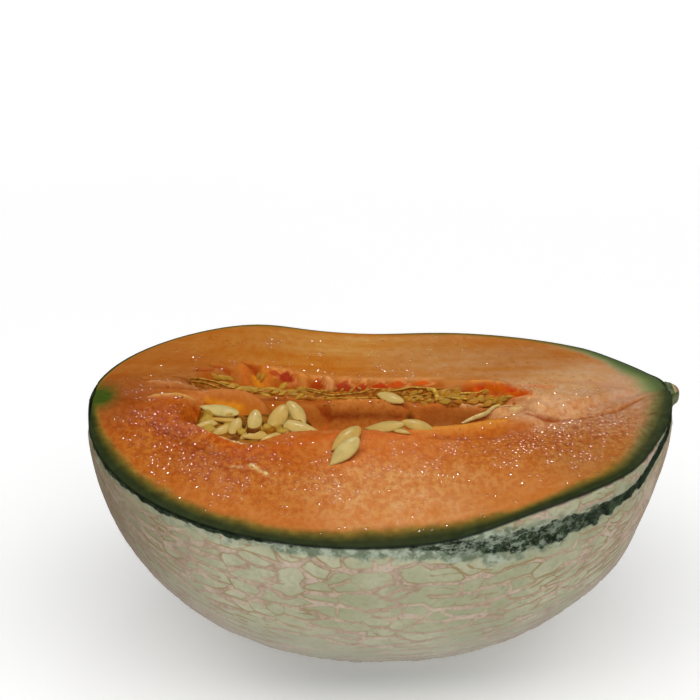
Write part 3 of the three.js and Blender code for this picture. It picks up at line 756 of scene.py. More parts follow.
# Broad tones of the cut flesh: centre, half widths, screen colour
tones = [
    ((-51, -29), (13, 11), (180, 96, 32)),
    ((-52, -6), (13, 12), (182, 88, 24)),
    ((-66, 2), (7, 12), (144, 78, 36)),
    ((-33, -45), (14, 12), (190, 108, 46)),
    ((-30, -27), (13, 8), (184, 94, 32)),
    ((4, -44), (15, 12), (208, 136, 78)),
    ((2, -25), (16, 8), (202, 112, 50)),
    ((26, -42), (12, 12), (196, 118, 56)),
    ((30, -25), (14, 9), (190, 106, 38)),
    ((48, -32), (10, 12), (176, 108, 52)),
    ((58, -14), (10, 8), (184, 128, 90)),
    ((62, -6), (8, 9), (186, 136, 104)),
    ((46, -8), (9, 8), (208, 154, 110)),
    ((-56, 28), (14, 14), (168, 96, 36)),
    ((-35, 43), (15, 14), (180, 108, 40)),
    ((-12, 31), (16, 6), (188, 108, 30)),
    ((-10, 48), (14, 12), (198, 132, 58)),
    ((13, 35), (14, 13), (188, 128, 70)),
    ((38, 29), (13, 12), (178, 116, 62)),
    ((50, 12), (12, 9), (198, 152, 106)),
    ((64, 4), (9, 9), (186, 142, 108)),
    ((-46, 16), (10, 7), (156, 98, 52)),
    ((-8, 2), (22, 9), (168, 94, 36)),
    ((-14, -14), (20, 4), (188, 104, 48)),
    ((-34, 0), (11, 10), (176, 96, 26)),
]

# Where the cut is mottled: centre, half widths, share
coarsePlaces = [
    ((-50, -18), (22, 20), 1.0),
    ((-20, -42), (26, 16), 0.7),
    ((12, -42), (26, 16), 0.6),
    ((46, -26), (18, 16), 0.6),
]

# Where it is wet
wetPlaces = [
    ((-55, -11), (13, 11), 0.7),
    ((-46, -26), (14, 10), 0.65),
    ((-30, -37), (16, 10), 0.4),
    ((42, -25), (20, 12), 0.7),
    ((56, -13), (12, 11), 0.9),
    ((12, -30), (30, 12), 0.24),
    ((-20, 23), (26, 4), 0.35),
    ((34, 7), (12, 6), 0.5),
    ((-4, 8), (16, 7), 0.4),
    ((-52, 12), (12, 6), 0.3),
]


def rimGap(x, y):  # distance in the face to the nearer rim, by the slope of the rims in plan
    (yf, _), (yb, _) = rims(x)
    (yf1, _), (yb1, _) = rims(np.minimum(x + 0.05, 74.98))
    (yf0, _), (yb0, _) = rims(np.maximum(x - 0.05, -74.98))
    front = (y - yf) / np.hypot(1, (yf1 - yf0) / 0.1)
    back = (yb - y) / np.hypot(1, (yb1 - yb0) / 0.1)
    return np.minimum(np.minimum(front, back), np.hypot(x + 75, y * 0.8))


def inPlaces(x, y, places):
    spots = [share * bell(x, cx, wx) * bell(y, cy, wy) for (cx, cy), (wx, wy), share in places]
    return np.minimum(sum(spots), 1)


def paleFlesh(x, y):  # broad tones, then streaks along the fruit at the back and soft blotches
    colour, total = 0.03 * shown(192, 114, 50) + np.zeros((*x.shape, 3)), 0.03
    for (cx, cy), (wx, wy), tone in tones:
        weight = bell(x, cx, wx) * bell(y, cy, wy)
        colour, total = colour + weight[..., None] * shown(*tone), total + weight
    colour = colour / total[..., None]
    streak = layers(x / 30, y / 3.4, 0.0, 201) - 0.5
    lean = 0.35 * np.sign(x) * ramp(np.abs(x), 10, 50)
    blotch = layers((x + lean * y) / 2.4, (y - lean * x) / 4.2, 0.0, 211) - 0.5
    colour = colour * (1 + np.array([0.12, 0.5, 1.6]) * (streak * ramp(y, 10, 24))[..., None])
    colour = colour * (1 - 0.05 * (1 - ramp(y, -14, 6)))[..., None]
    return colour * (1 + np.array([0.1, 0.4, 1.0]) * blotch[..., None])


# Screen colours of the green band at shares of its width, from the rim inwards: along the front, the
# back, and the back near the stem
bandAt = (0.0, 0.45, 0.75, 1.05, 1.5)
bandFront = [(44, 54, 34), (46, 52, 28), (76, 72, 32), (120, 94, 38), (160, 108, 46)]
bandFrontStem = [(44, 54, 36), (62, 68, 42), (92, 88, 52), (118, 106, 66), (150, 116, 78)]
bandBack = [(90, 82, 34), (110, 90, 32), (138, 104, 40), (154, 112, 46), (170, 118, 54)]
bandStem = [(76, 90, 58), (88, 102, 62), (108, 120, 72), (134, 134, 88), (160, 140, 100)]


# The band is widest at the middle of the front and round the stem; at the back left it is a thin line
def rimColour(colour, x, y, toRim):
    frontWide = 4.2 - 0.9 * ramp(-x, 62, 72) + 0.4 * bell(x, -50, 10) + 1.8 * bell(x, 6, 16)
    frontWide = frontWide - 0.8 * bell(x, 32, 10) + 1.6 * ramp(x, 60, 72)
    backWide = 1.0 + bell(x, -28, 12) + 1.5 * ramp(x, -2, 14) + 1.5 * ramp(x, 46, 62) + 3.5 * ramp(x, 60, 72)
    side, stem = ramp(y, -2, 4), ramp(x, 44, 62)
    wobble = 1 + 0.4 * (layers(x / 5, y / 5, 0.0, 221) - 0.5)
    t = toRim / (mix(frontWide, backWide, side) * wobble)

    def bandOf(stops):
        rows = np.array([shown(*stop) for stop in stops])
        return np.stack([np.interp(t, bandAt, rows[:, k]) for k in range(3)], -1)

    back = mix(bandOf(bandBack), bandOf(bandStem), stem[..., None])
    front = mix(bandOf(bandFront), bandOf(bandFrontStem), ramp(x, 52, 68)[..., None])
    front = front * (1 + 0.7 * (layers(x / 1.6, y / 1.6, 0.0, 271) - 0.5))[..., None]
    band = mix(front, back, side[..., None])
    colour = mix(colour, band, (1 - ramp(t, 1.0, 1.7 + 0.7 * stem))[..., None])
    line = (1 - ramp(toRim, 0.5, 1.2)) * side * (ramp(-x, 18, 44) + ramp(x, 44, 60))
    colour = mix(colour, shown(38, 42, 22), (0.9 * line)[..., None])
    patch = bell(x, -72.5, 4.2) * bell(y, 3, 8) * (0.9 + 1.2 * layers(x / 3.4, y / 1.1, 0.0, 225))
    return mix(colour, shown(64, 82, 28), np.clip(patch - 0.1, 0, 1)[..., None])


# Height, colour, wetness and share of mottling at any places of the cut face
def fleshSurface(x, y):
    toRim = rimGap(x, y)
    z, colour = faceHeight(x, y), paleFlesh(x, y)
    ragged = 1 + 0.5 * (noise(x / 1.6, y / 1.6, 0.0, 261) - 0.5)
    for path, left, right, height, tone, strength in marks:
        gap, side, share = pathGap(x, y, path)
        taper = 0.45 + 0.55 * np.sin(np.pi * np.clip(share, 0.04, 0.96)) ** 0.5
        weight = bell(gap, 0, np.where(side > 0, left, right) * taper * ragged)
        z = z + height * weight
        colour = mix(colour, shown(*tone), (strength * weight)[..., None])
    lipY = backLip(x) + 0.9
    for cx, half, _, _, depth, _ in sockets:
        z = z - depth * bell(x, cx, half) * bell(y, lipY - 0.4, 1.5)
    drop = 0.41 * (lipY - y) + 0.91 * (plainFace(x, lipY) - z)
    for cx, half, top, bottom, _, tone in sockets:
        down = (drop - top) / (bottom - top)
        wide = half * (0.35 + 0.75 * ramp(down, 0, 0.7))
        d = np.hypot((x - cx - 0.4 * half * (0.5 - down)) / wide, 2 * down - 1) * ragged
        # painted highlight: a pale ring on each socket's rim, brighter on its stem side
        lit = 0.7 * bell(d, 1.35, 0.25) * ramp(x - cx, -half, half)
        colour = mix(colour, shown(226, 146, 84), lit[..., None])
        colour = mix(colour, shown(*tone), (1 - ramp(d, 0.7, 1.1))[..., None])
    # wrinkles that lean with the rim, coarse grain at both ends, wet lumps in the hollow
    lean = 0.35 * np.sign(x) * ramp(np.abs(x), 10, 50)
    u, v = x + lean * y, y - lean * x
    wrinkle = layers(u / 1.9, v / 1.4, 0.0, 231, 2) - 0.5
    coarse = layers(u / 1.3, v / 1.0, 0.0, 241, 2) - 0.5
    inHollow = ramp(hollowDepth(x, y), 0.5, 3)
    wet = inPlaces(x, y, wetPlaces)
    fromRim = ramp(toRim, 0.2, 2.5)
    grain = (0.16 * wrinkle + 0.32 * wet * coarse) * (1 - 0.4 * inHollow) * (1 - 0.6 * ramp(y, 8, 20))
    z = z + fromRim * grain + 0.6 * inHollow * (layers(x / 2.6, y / 2.0, 0.0, 251) - 0.5)
    colour = colour * (1 + np.array([0.3, 1.0, 1.8]) * (grain * fromRim)[..., None])
    mottle = (0.15 + 0.85 * inPlaces(x, y, coarsePlaces)) * ramp(toRim, 1.5, 5)
    return z + 0.03, np.clip(rimColour(colour, x, y, toRim), 0, 1), wet * fromRim, mottle


def makeFlesh(material):
    settings = fleshSettings
    u = np.linspace(-1, 1, settings["stations"])
    x = 74.0 * np.sin(u * 1.32) / np.sin(1.32)
    x = np.where(x > 0, x * 74.9 / 74.0, x)[:, None]
    (yf, _), (yb, _) = rims(x)
    front, back = np.minimum(yf + settings["rimGap"], -0.3), np.maximum(yb - settings["rimGap"], 0.3)
    nearLip = np.maximum(frontLip(x) - 1.5 - 5.2 * ramp(x, 2, 20), 0.5 * front)
    farLip = np.minimum(backLip(x) + 2.0, 0.5 * back)
    n = settings["columns"]
    parts = [
        mix(front, nearLip, np.linspace(0, 1, n[0], endpoint=False)[None]),
        mix(nearLip, farLip, np.linspace(0, 1, n[1], endpoint=False)[None]),
        mix(farLip, back, np.linspace(0, 1, n[2])[None] ** 1.1),
    ]
    y = np.concatenate(parts, 1)
    x = x + 0 * y
    z, colour, wet, coarse = fleshSurface(x, y)
    # plain underside inside the rind
    ends = x[:, :1]
    radius = np.maximum(fruitRadius(ends) - 1.9, 0.45 * fruitRadius(ends))
    a0, a1 = rimAngles(ends, fruitRadius(ends))
    angle = mix(a1, a0, np.linspace(0.06, 0.94, settings["under"])[None])
    under = np.stack([ends + 0 * angle, -radius * np.cos(angle), -radius * np.sin(angle)], -1)
    loops = np.concatenate([np.stack([x, y, z], -1), under], 1)
    columns = loops.shape[1]
    hidden = np.zeros((len(x), settings["under"]))
    tone = np.concatenate([colour, hidden[..., None] + shown(192, 114, 50)], 1).reshape(-1, 3)
    points, faces = loopsToSkin(loops)
    attributes = {"tone": withTips(tone, columns)}
    for name, values in (("wet", wet), ("coarse", coarse)):
        attributes[name] = withTips(np.concatenate([values, hidden], 1).ravel(), columns)
    makePiece("flesh", points, faces, material, attributes, ["melon_half"])


def fleshMaterial():
    m = Shader("wet_flesh", IOR=1.4, Specular_IOR_Level=0.02, Specular_Tint=(1.0, 0.6, 0.3))
    tone, wet, coarse = m.attribute("tone", colour=True), m.attribute("wet"), m.attribute("coarse")
    fine = m.grain(950, 3, 0.6, (1, 0.6, 1))
    cells = m.grain(760, 2, 0.5, (1, 0.55, 1))
    light = m.times(tone, (1.08, 1.4, 1.6))
    dark = m.times(tone, (0.66, 0.42, 0.3))
    colour = m.blend(cells.between(0.47, 0.59) * coarse * 0.85, tone, light)
    colour = m.blend(cells.between(0.5, 0.36) * (coarse * 0.25 + wet * 0.5), colour, dark)
    colour = m.blend(fine.between(0.52, 0.38) * (coarse * 0.15 + wet * 0.85), colour, dark)
    juicy = m.times(colour, (1.05, 0.98, 0.7))
    colour = m.blend(wet * 0.6, colour, juicy)
    damp = m.grain(260, 3, 0.6).between(0.4, 0.62)
    gloss = 0.5 - damp * (wet * 0.06 + 0.04)
    dimples = m.bump(cells * (coarse * 0.8 + 0.2), 0.0009, 0.6)
    grain = m.bump(fine * (coarse * 0.8 + 0.2), 0.0005, 0.6, dimples)
    return m.finish(Base_Color=colour, Roughness=gloss, Normal=grain)


makeFlesh(fleshMaterial())
print("flesh ready")

seedSettings = {"length": 11.4, "width": 4.7, "thickness": 1.9, "rings": 26, "sides": 24}

# x, y, z, heading, lift, bank, size, amber share. z is height over the face for the loose seeds, and
# over the fruit's axis for those in the heap.
looseSeeds = [
    (-9.6, -21.8, 1.3, 49, 13, 18, 1.02, 0.55),
    (-10.1, -28.4, 1.5, 49, 19, 16, 1.04, 0.05),
    (0.4, -14.0, 0.9, -17, 13, 14, 0.96, 0.4),
    (9.2, -14.6, 0.7, 158, 6, -18, 0.84, 0.55),
    (4.4, -16.4, 0.4, 140, 0, 0, 0.6, 0.45),
    (2.6, 12.6, 1.3, -38, -4, 12, 0.86, 0.3),
    (25.4, -6.6, 1.0, 32, 8, 20, 0.8, 0.35),
]
heapSeeds = [
    (-41.6, -5.4, -1.1, -22, -2, 12, 0.99, 0.0),
    (-40.8, -7.4, -2.9, -20, 2, -14, 0.86, 0.7),
    (-44.3, -9.2, -3.1, 30, 0, 12, 0.66, 0.45),
    (-40.6, -12.4, -3.6, 42, 4, 20, 0.66, 0.45),
    (-37.3, -12.6, -3.1, 74, 20, 6, 0.7, 0.4),
    (-34.6, -15.2, -3.8, 62, 10, -8, 0.56, 0.6),
    (-32.4, -11.9, -1.9, 84, 22, 6, 0.82, 0.25),
    (-31.8, -16.2, -3.5, 24, -6, 18, 0.7, 0.55),
    (-26.9, -10.1, -2.2, 64, 24, 10, 1.01, 0.5),
    (-21.6, -5.6, -2.7, 116, 22, -4, 0.92, 0.3),
    (-21.3, -11.6, -3.3, 160, 4, -14, 1.0, 0.3),
    (-28.0, -15.6, -4.0, 40, 0, 4, 0.66, 0.5),
]


def turned(heading, lift, bank):  # bank about its length, then lift, then heading
    turns = [(heading, "Z"), (-lift, "Y"), (bank, "X")]
    first, second, third = [Matrix.Rotation(angle * degree, 3, axis) for angle, axis in turns]
    return np.array(first @ second @ third)


# Along the length from its point, with swell = sin(pi t^1.25): half width swell^0.85 at the point
# to swell^0.5 at the round end, half thickness swell^0.5. Across, height follows |sin|^1.25, which
# leaves the thin margin of a flat seed.
def seedSkin(size, rings, sides, bend):
    t = (1 - np.cos(np.pi * np.linspace(0.02, 0.995, rings))) / 2
    swell = np.sin(np.pi * t**1.25)[:, None]
    a = np.linspace(0, 2 * np.pi, sides, endpoint=False)[None]
    wide = 0.5 * seedSettings["width"] * swell ** (0.85 - 0.35 * t[:, None])
    thick = 0.5 * seedSettings["thickness"] * swell**0.5
    y = wide * np.cos(a)
    z = thick * np.sign(np.sin(a)) * np.abs(np.sin(a)) ** 1.25
    x = (t[:, None] - 0.5) * seedSettings["length"] + 0 * y
    y = y + bend * (1 - (2 * x / seedSettings["length"]) ** 2)
    return np.stack([x, y, z], -1) * size, t


def makeSeeds(name, rows, material, slot, replaces, rings, sides, plump):
    around = np.abs(np.cos(np.linspace(0, 2 * np.pi, sides, endpoint=False)))
    edge = withTips(np.tile(around, rings), sides)
    skins, tints, shares = [], [], []
    for k, (x, y, z, heading, lift, bank, size, amber) in enumerate(rows):
        skin, t = seedSkin(size, rings, sides, 0.5 * (latticeValues[k * 7] - 0.5))
        skin[..., 1:] *= plump[k]
        skins.append(loopsToSkin(skin @ turned(heading, lift, bank).T + (x, y, z)))
        tints.append(np.full(len(edge), amber))
        shares.append(withTips(np.repeat(t, sides), sides))
    attributes = {"amber": np.concatenate(tints), "share": np.concatenate(shares)}
    attributes["edge"] = np.tile(edge, len(skins))
    points, faces = joinSkins(skins)
    makePiece(name, points, faces, material, attributes, replaces)


def seedMaterial(name, pale, gold):
    glow = {"Subsurface_Weight": 0.25, "Subsurface_Radius": (1.0, 0.6, 0.3), "Subsurface_Scale": 0.0015}
    coat = {"Coat_Weight": 0.04, "Coat_Roughness": 0.1}
    m = Shader(name, IOR=1.45, Specular_IOR_Level=0.06, **glow, **coat)
    amber, share, edge = m.attribute("amber"), m.attribute("share"), m.attribute("edge")
    colour = m.blend(amber, pale, gold)
    streaks = m.grain(420, 3, 0.5, (1, 1, 0.5)).between(0.4, 0.7)
    colour = m.blend(streaks * 0.35, colour, linear(164, 134, 66))
    colour = m.blend(edge.between(0.86, 1.0) * 0.5, colour, linear(168, 118, 36))
    colour = m.blend((1 - share.between(0.0, 0.16)) * 0.5, colour, linear(150, 104, 40))
    return m.finish(Base_Color=colour, Roughness=0.4, Normal=m.bump(m.grain(900, 3), 0.00012, 0.5))


seedPaint = seedMaterial("melon_seed", linear(206, 184, 116), linear(196, 144, 46))
loose = [(x, y, float(faceHeight(x, y)) + up, h, l, b, s, a) for x, y, up, h, l, b, s, a in looseSeeds]
detail = seedSettings["rings"], seedSettings["sides"]
makeSeeds("seeds_loose", loose, seedPaint, "seed", ["melon_half"], *detail, np.ones(len(loose)))
makeSeeds("seeds_heap", heapSeeds, seedPaint, "seed", ["seed_heap"], *detail, np.ones(len(heapSeeds)))
print("seeds ready")


heapSettings = {
    "x": (-50.5, -12.5),
    "y": (-21.5, 4.5),
    "grid": (230, 160),
    "edge": -12.0,
    "level": -3.9,
    "foot": -15.0,
}

# Translucent lumps that lie among the seeds: place, half widths, height
heapLumps = [
    ((-45.2, -7.4), (2.2, 1.6), 1.5),
    ((-43.6, -11.6), (2.0, 1.6), 1.1),
    ((-38.6, -9.6), (1.8, 2.0), 1.0),
    ((-35.6, -13.4), (1.6, 2.0), 0.9),
    ((-29.4, -13.2), (1.6, 1.6), 0.8),
    ((-25.4, -13.4), (2.2, 1.3), 0.9),
    ((-40.2, -2.8), (2.6, 1.2), 0.8),
    ((-24.4, -7.6), (1.6, 2.0), 0.8),
]


# Gel fills the heap to the seeds' mid-height and climbs a little up each of them
def makeHeapPulp(material):
    nx, ny = heapSettings["grid"]
    x = np.linspace(*heapSettings["x"], nx)[:, None]
    y = np.linspace(*heapSettings["y"], ny)[None]
    x, y = x + 0 * y, y + 0 * x
    fill = ramp(x, -51, -46) * (1 - ramp(x, -21, -14)) * (1 - ramp(y, -3, 4))
    level = heapSettings["level"] + 1.0 * (layers(x / 2.2, y / 1.6, 0.0, 301, 2) - 0.5)
    for sx, sy, sz, heading, lift, bank, size, amber in heapSeeds:
        c, s = np.cos(heading * degree), np.sin(heading * degree)
        along, across = (x - sx) * c + (y - sy) * s, (y - sy) * c - (x - sx) * s
        gap = np.hypot(along / (5.2 * size), across / (2.3 * size)) - 1
        level = np.maximum(level, mix(level, sz - 0.35, np.exp(-np.maximum(gap, 0) / 0.12)))
    lump = np.zeros_like(x)
    for (cx, cy), (wx, wy), high in heapLumps:
        dome = np.maximum(1 - ((x - cx) / wx) ** 2 - ((y - cy) / wy) ** 2, 0)
        lump = np.maximum(lump, high * np.sqrt(dome))
    top = mix(heapSettings["edge"], level + lump, fill)
    columns = [np.stack([x, y, top], -1)]
    for side in (-1, 0):
        columns.append(np.stack([x[:, side], y[:, side], heapSettings["foot"] + 0 * x[:, 0]], -1)[:, None])
    loops = np.concatenate(columns, 1)
    points, faces = loopsToSkin(loops)
    lumps = withTips(np.concatenate([lump, 0 * lump[:, :2]], 1).ravel(), ny + 2)
    makePiece("heap_pulp", points, faces, material, {"lump": lumps}, ["seed_heap"])


def heapMaterial():
    m = Shader("amber_gel", IOR=1.4, Roughness=0.5, Specular_IOR_Level=0.03)
    lump = m.attribute("lump").between(0.1, 0.7)
    veins = m.grain(420, 4, 0.6, (0.6, 1, 1))
    colour = m.blend(veins.between(0.36, 0.62), linear(96, 46, 8), linear(160, 100, 24))
    colour = m.blend(lump * veins.between(0.2, 0.5) * 0.8, colour, linear(190, 156, 64))
    return m.finish(Base_Color=colour, Normal=m.bump(veins, 0.0004, 0.6))


makeHeapPulp(heapMaterial())

strandSettings = {
    "plan": [(-50, 17.6), (-45, 19.6), (-38, 20), (-31, 19.6), (-25, 18.4), (-18, 15.8), (-8, 14.2)]
    + [(2, 13.8), (9, 13.2), (16, 11.2), (24, 10.2), (31, 6.8), (35.5, 3.4)],
    "steps": 420,
    "across": 15,
}


# Half width and height of the strand's bed along x
def strandWidth(x):
    return 0.85 + 0.7 * bell(x, -34, 10) + 0.35 * bell(x, -14, 12) + 1.7 * bell(x, 19, 9)


def strandHeight(x):
    return 0.7 + 0.25 * bell(x, -34, 12) + 1.0 * bell(x, 19, 9)


def smoothPath(plan, count):  # Catmull-Rom curve through points of any dimension
    p = np.asarray(plan, float)
    p = np.concatenate([[2 * p[0] - p[1]], p, [2 * p[-1] - p[-2]]])
    t = np.linspace(0, len(p) - 3 - 1e-9, count)
    i = t.astype(int)
    f = (t - i)[:, None]
    a, b, c, d = p[i], p[i + 1], p[i + 2], p[i + 3]
    return 0.5 * (2 * b + (c - a) * f + (2 * a - 5 * b + 4 * c - d) * f**2 + (3 * b - a - 3 * c + d) * f**3)


strandLine = smoothPath(strandSettings["plan"], strandSettings["steps"])
strandLean = np.gradient(strandLine, axis=0)
strandLean = np.stack([-strandLean[:, 1], strandLean[:, 0]], 1) / np.linalg.norm(strandLean, axis=1)[:, None]


# Points on the strand's rounded bed: t along it from 0 to 1, c across it from -1 to 1
def onStrand(t, c):
    at = np.clip(t, 0, 1) * (strandSettings["steps"] - 1)
    steps = np.arange(strandSettings["steps"])
    x, y = [np.interp(at, steps, strandLine[:, k]) for k in (0, 1)]
    nx, ny = [np.interp(at, steps, strandLean[:, k]) for k in (0, 1)]
    wide, high = strandWidth(x), strandHeight(x) * np.sin(np.pi * np.clip(t, 0.01, 0.99)) ** 0.3
    px, py = x + nx * wide * c, y + ny * wide * c
    arch = np.sqrt(np.maximum(1 - c**2, 0))
    base = np.minimum(faceHeight(px, py), faceHeight(x, y) + 0.8)
    return np.stack([px, py, base + high * arch], -1)


# A tube along a path: rings of the given radii, turned square to the path
def tubeLoops(path, radii, sides):
    along = np.gradient(path, axis=0)
    along /= np.linalg.norm(along, axis=1)[:, None]
    across = np.cross([0, 0, 1.0], along)
    across /= np.linalg.norm(across, axis=1)[:, None]
    upright = np.cross(along, across)
    a = np.linspace(0, 2 * np.pi, sides, endpoint=False)
    ring = np.cos(a)[None, :, None] * across[:, None] + np.sin(a)[None, :, None] * upright[:, None]
    return path[:, None] + radii[:, None, None] * ring


def makeStrandBed(material):
    s = strandSettings
    t = np.linspace(0, 1, s["steps"])[:, None]
    c = np.linspace(-1, 1, s["across"])[None]
    top = onStrand(t + 0 * c, c + 0 * t)
    top[..., 2] += 0.5 * (layers(top[..., 0] / 1.2, top[..., 1] / 0.9, 0.0, 421, 2) - 0.5)
    under = top[:, ::-1][:, 1:-1] - [0, 0, 1.1]
    points, faces = loopsToSkin(np.concatenate([top, under], 1), flip=True)
    makePiece("strand_bed", points, faces, material, {}, ["seed_strand"])


# Height of the strand's bed, or of the flesh beside it, at any places
def pulpTop(x, y):
    gap, _, _ = pathGap(x, y, strandLine[::12])
    c = np.minimum(gap / strandWidth(x), 1)
    flesh = fleshSurface(x, y)[0]
    return np.where(c < 1, np.maximum(flesh, faceHeight(x, y) + strandHeight(x) * np.sqrt(1 - c**2)), flesh)


# Fibres on the bed and the flesh: plan path and half width
fibrePlans = [
    ([(-50.6, 17.1), (-47.6, 19.1), (-44.5, 20.1), (-41.8, 20.2), (-37, 19.4)], 0.2),
    ([(-50.1, 16.9), (-46.5, 18.9), (-43.4, 19.3), (-39, 18.8), (-33, 18.6)], 0.18),
    ([(-33, 18.4), (-28, 18.0), (-24, 18.9), (-20, 17.4)], 0.14),
    ([(-20.9, 18.1), (-17.7, 16.6), (-14.5, 15.3), (-11.4, 14.5), (-5, 14.1), (-1.8, 14.4), (3.4, 14.2)],
     0.18),
    ([(-22.5, 18.9), (-18.2, 17.1), (-15.1, 15.8), (-11, 15.0)], 0.14),
    ([(-16, 15.2), (-9, 13.6), (-3, 13.4), (3, 13.2)], 0.14),
    ([(1, 14.0), (5.7, 14.2), (9.2, 14.5), (12.5, 14.0), (17, 13.6)], 0.26),
    ([(5.7, 13.4), (11.3, 13.1), (17.9, 12.5), (22, 12.2)], 0.18),
    ([(12.8, 13.5), (14.6, 13.0), (15.4, 11.4), (15.0, 9.6)], 0.75),
    ([(17.7, 10.7), (22.9, 11.4), (28.2, 11.2)], 0.3),
    ([(15.9, 11.6), (20.7, 10.0), (26.4, 9.6)], 0.26),
    ([(24, 9.2), (27, 9.2), (31, 7.6)], 0.22),
]
membranePlans = [
    ([(21.6, 5.7), (25.0, 5.35), (28.0, 4.95), (31.6, 4.5)], 0.7),
    ([(30.2, 4.7), (34, 3.4), (38, 0.4)], 0.12),
]


def makeFibres(name, plans, material):
    skins = []
    for path, size in plans:
        plan = smoothPath(path, 70)
        share = np.linspace(0, 1, 70)
        height = np.convolve(np.pad(pulpTop(plan[:, 0], plan[:, 1]), 4, "edge"), np.full(9, 1 / 9), "valid")
        radii = size * (0.3 + 0.7 * np.sin(np.pi * share) ** 0.6)
        line = np.stack([plan[:, 0], plan[:, 1], height + 0.35 * size + 0.1], -1)
        skins.append(loopsToSkin(tubeLoops(line, radii, 8), flip=True))
    points, faces = joinSkins(skins)
    makePiece(name, points, faces, material, {}, ["seed_strand"])


def pulpMaterial(name, dark, light):
    m = Shader(name, IOR=1.4, Roughness=0.3, Specular_IOR_Level=0.1)
    veins = m.grain(700, 3, 0.6)
    colour = m.blend(veins.between(0.36, 0.64), dark, light)
    return m.finish(Base_Color=colour, Normal=m.bump(veins, 0.0004, 0.7))


makeStrandBed(pulpMaterial("strand_gel", linear(140, 74, 16), linear(182, 112, 32)))
makeFibres("fibres", fibrePlans, pulpMaterial("pulp_fibre", linear(166, 118, 28), linear(220, 178, 76)))
membranePaint = pulpMaterial("pale_membrane", linear(206, 180, 96), linear(228, 208, 148))
makeFibres("membrane", membranePlans, membranePaint)

# Undeveloped seeds on the strand and the wall behind it: x, y, heading, length in millimetres, amber
# share
youngSeeds = [
    (-43.7, 21.7, -14, 2.6, 0.5), (-41.8, 22.1, 8, 2.8, 0.4), (-40.0, 22.5, -10, 2.4, 0.5),
    (-41.2, 20.9, 12, 2.8, 0.3), (-39.4, 20.2, 18, 2.6, 0.3), (-38.6, 21.4, -20, 2.6, 0.5),
    (-36.9, 19.8, 30, 2.8, 0.2), (-35.5, 19.9, 14, 2.6, 0.2), (-33.7, 19.7, -12, 3.0, 0.3),
    (-31.1, 22.9, 60, 2.6, 0.6), (-32.2, 23.8, 70, 2.6, 0.7), (-30.2, 17.6, -18, 2.8, 0.4),
    (-28.9, 20.1, -12, 3.2, 0.15), (-26.9, 18.9, 16, 2.4, 0.4), (-25.8, 20.2, 16, 3.0, 0.2),
    (-23.4, 18.4, -24, 2.4, 0.4), (-20.9, 18.1, -20, 2.8, 0.4), (-22.4, 17.0, 10, 2.2, 0.5),
    (9.1, 13.7, 10, 2.8, 0.5), (10.6, 12.4, 40, 3.0, 0.7), (11.9, 10.4, -60, 3.4, 0.8),
    (16.1, 10.6, -20, 3.4, 0.6), (18.0, 11.4, 30, 3.2, 0.7), (19.9, 10.9, -10, 3.4, 0.5),
    (22.0, 10.4, 14, 3.0, 0.6), (17.4, 9.4, 0, 3.2, 0.8), (24.4, 10.2, -24, 3.0, 0.5),
    (7.4, 13.2, -20, 2.4, 0.6), (26.6, 9.8, 14, 2.6, 0.4), (29.2, 9.2, -30, 2.6, 0.5),
    (20.6, 12.4, -6, 2.6, 0.8), (15.8, 12.2, 16, 3.0, 0.8), (32.0, 7.2, -40, 2.4, 0.4),
    (13.2, 12.2, 60, 2.6, 0.9), (8.8, 12.0, -30, 2.6, 0.8), (28.0, 10.8, -10, 2.4, 0.6),
]


# Young seeds by the list, then rows of beads: close and small in the middle, looser at both ends
def makeSmallSeeds(material):
    draw = np.random.default_rng(5)
    plan = list(youngSeeds)
    for side in (-0.6, 0.0, 0.45):
        t = 0.17
        while t < 0.93:
            middle = 0.38 < t < 0.68
            size = draw.uniform(1.3, 1.9) if middle else draw.uniform(1.7, 2.5) + 1.0 * (t > 0.7)
            t += size * (0.0105 if middle else 0.013)
            x, y, _ = onStrand(np.array(t), np.array(side + draw.uniform(-0.16, 0.16)))
            if side or not middle:
                heading = draw.uniform(-34, 34) * (0.5 if t > 0.7 else 1)
                plan.append((x, y, heading, size, draw.uniform(0.3, 1)))
    x, y, heading, length, amber = np.array(plan).T
    length = length * (1 + 0.18 * (x < -20))
    leanX, leanY = slopes(pulpTop, x, y, 0.4)
    z = pulpTop(x, y) + 0.03 * length
    c, s = np.cos(heading * degree), np.sin(heading * degree)
    lift = np.degrees(np.arctan(leanX * c + leanY * s)).clip(-40, 40)
    bank = np.degrees(np.arctan(leanY * c - leanX * s)).clip(-50, 50)
    rows = list(zip(x, y, z, heading, lift, bank, length / seedSettings["length"], amber))
    makeSeeds("small_seeds", rows, material, "seed", ["seed_strand"], 9, 9, 1.3 + 0.25 * ramp(x, 6, 12))


makeSmallSeeds(seedMaterial("young_seed", linear(194, 150, 54), linear(170, 104, 20)))
print("pulp ready")

juiceSettings = {
    "count": 1800,
    "sides": 10,
    "radius": (0.24, 0.44),
    "rings": ((1.34, -0.7), (1.14, -0.055), (1.0, 0.0), (0.72, 0.1), (0.38, 0.172)),  # radius and height
    "tip": 0.198,
    "raised": 0.04,
    "apart": (0.9, 1.4),
    # painted shade that darkens and reddens the drops where the cut is wet
    "tint": (0.97, 0.84, 0.5),
    "elsewhere": 0.035,  # share of drops outside the wet places
    "wall": 0.17,  # slope from which a drop lies on the back wall and follows it
    "follow": 0.1,  # share of the slope that the other drops follow
}
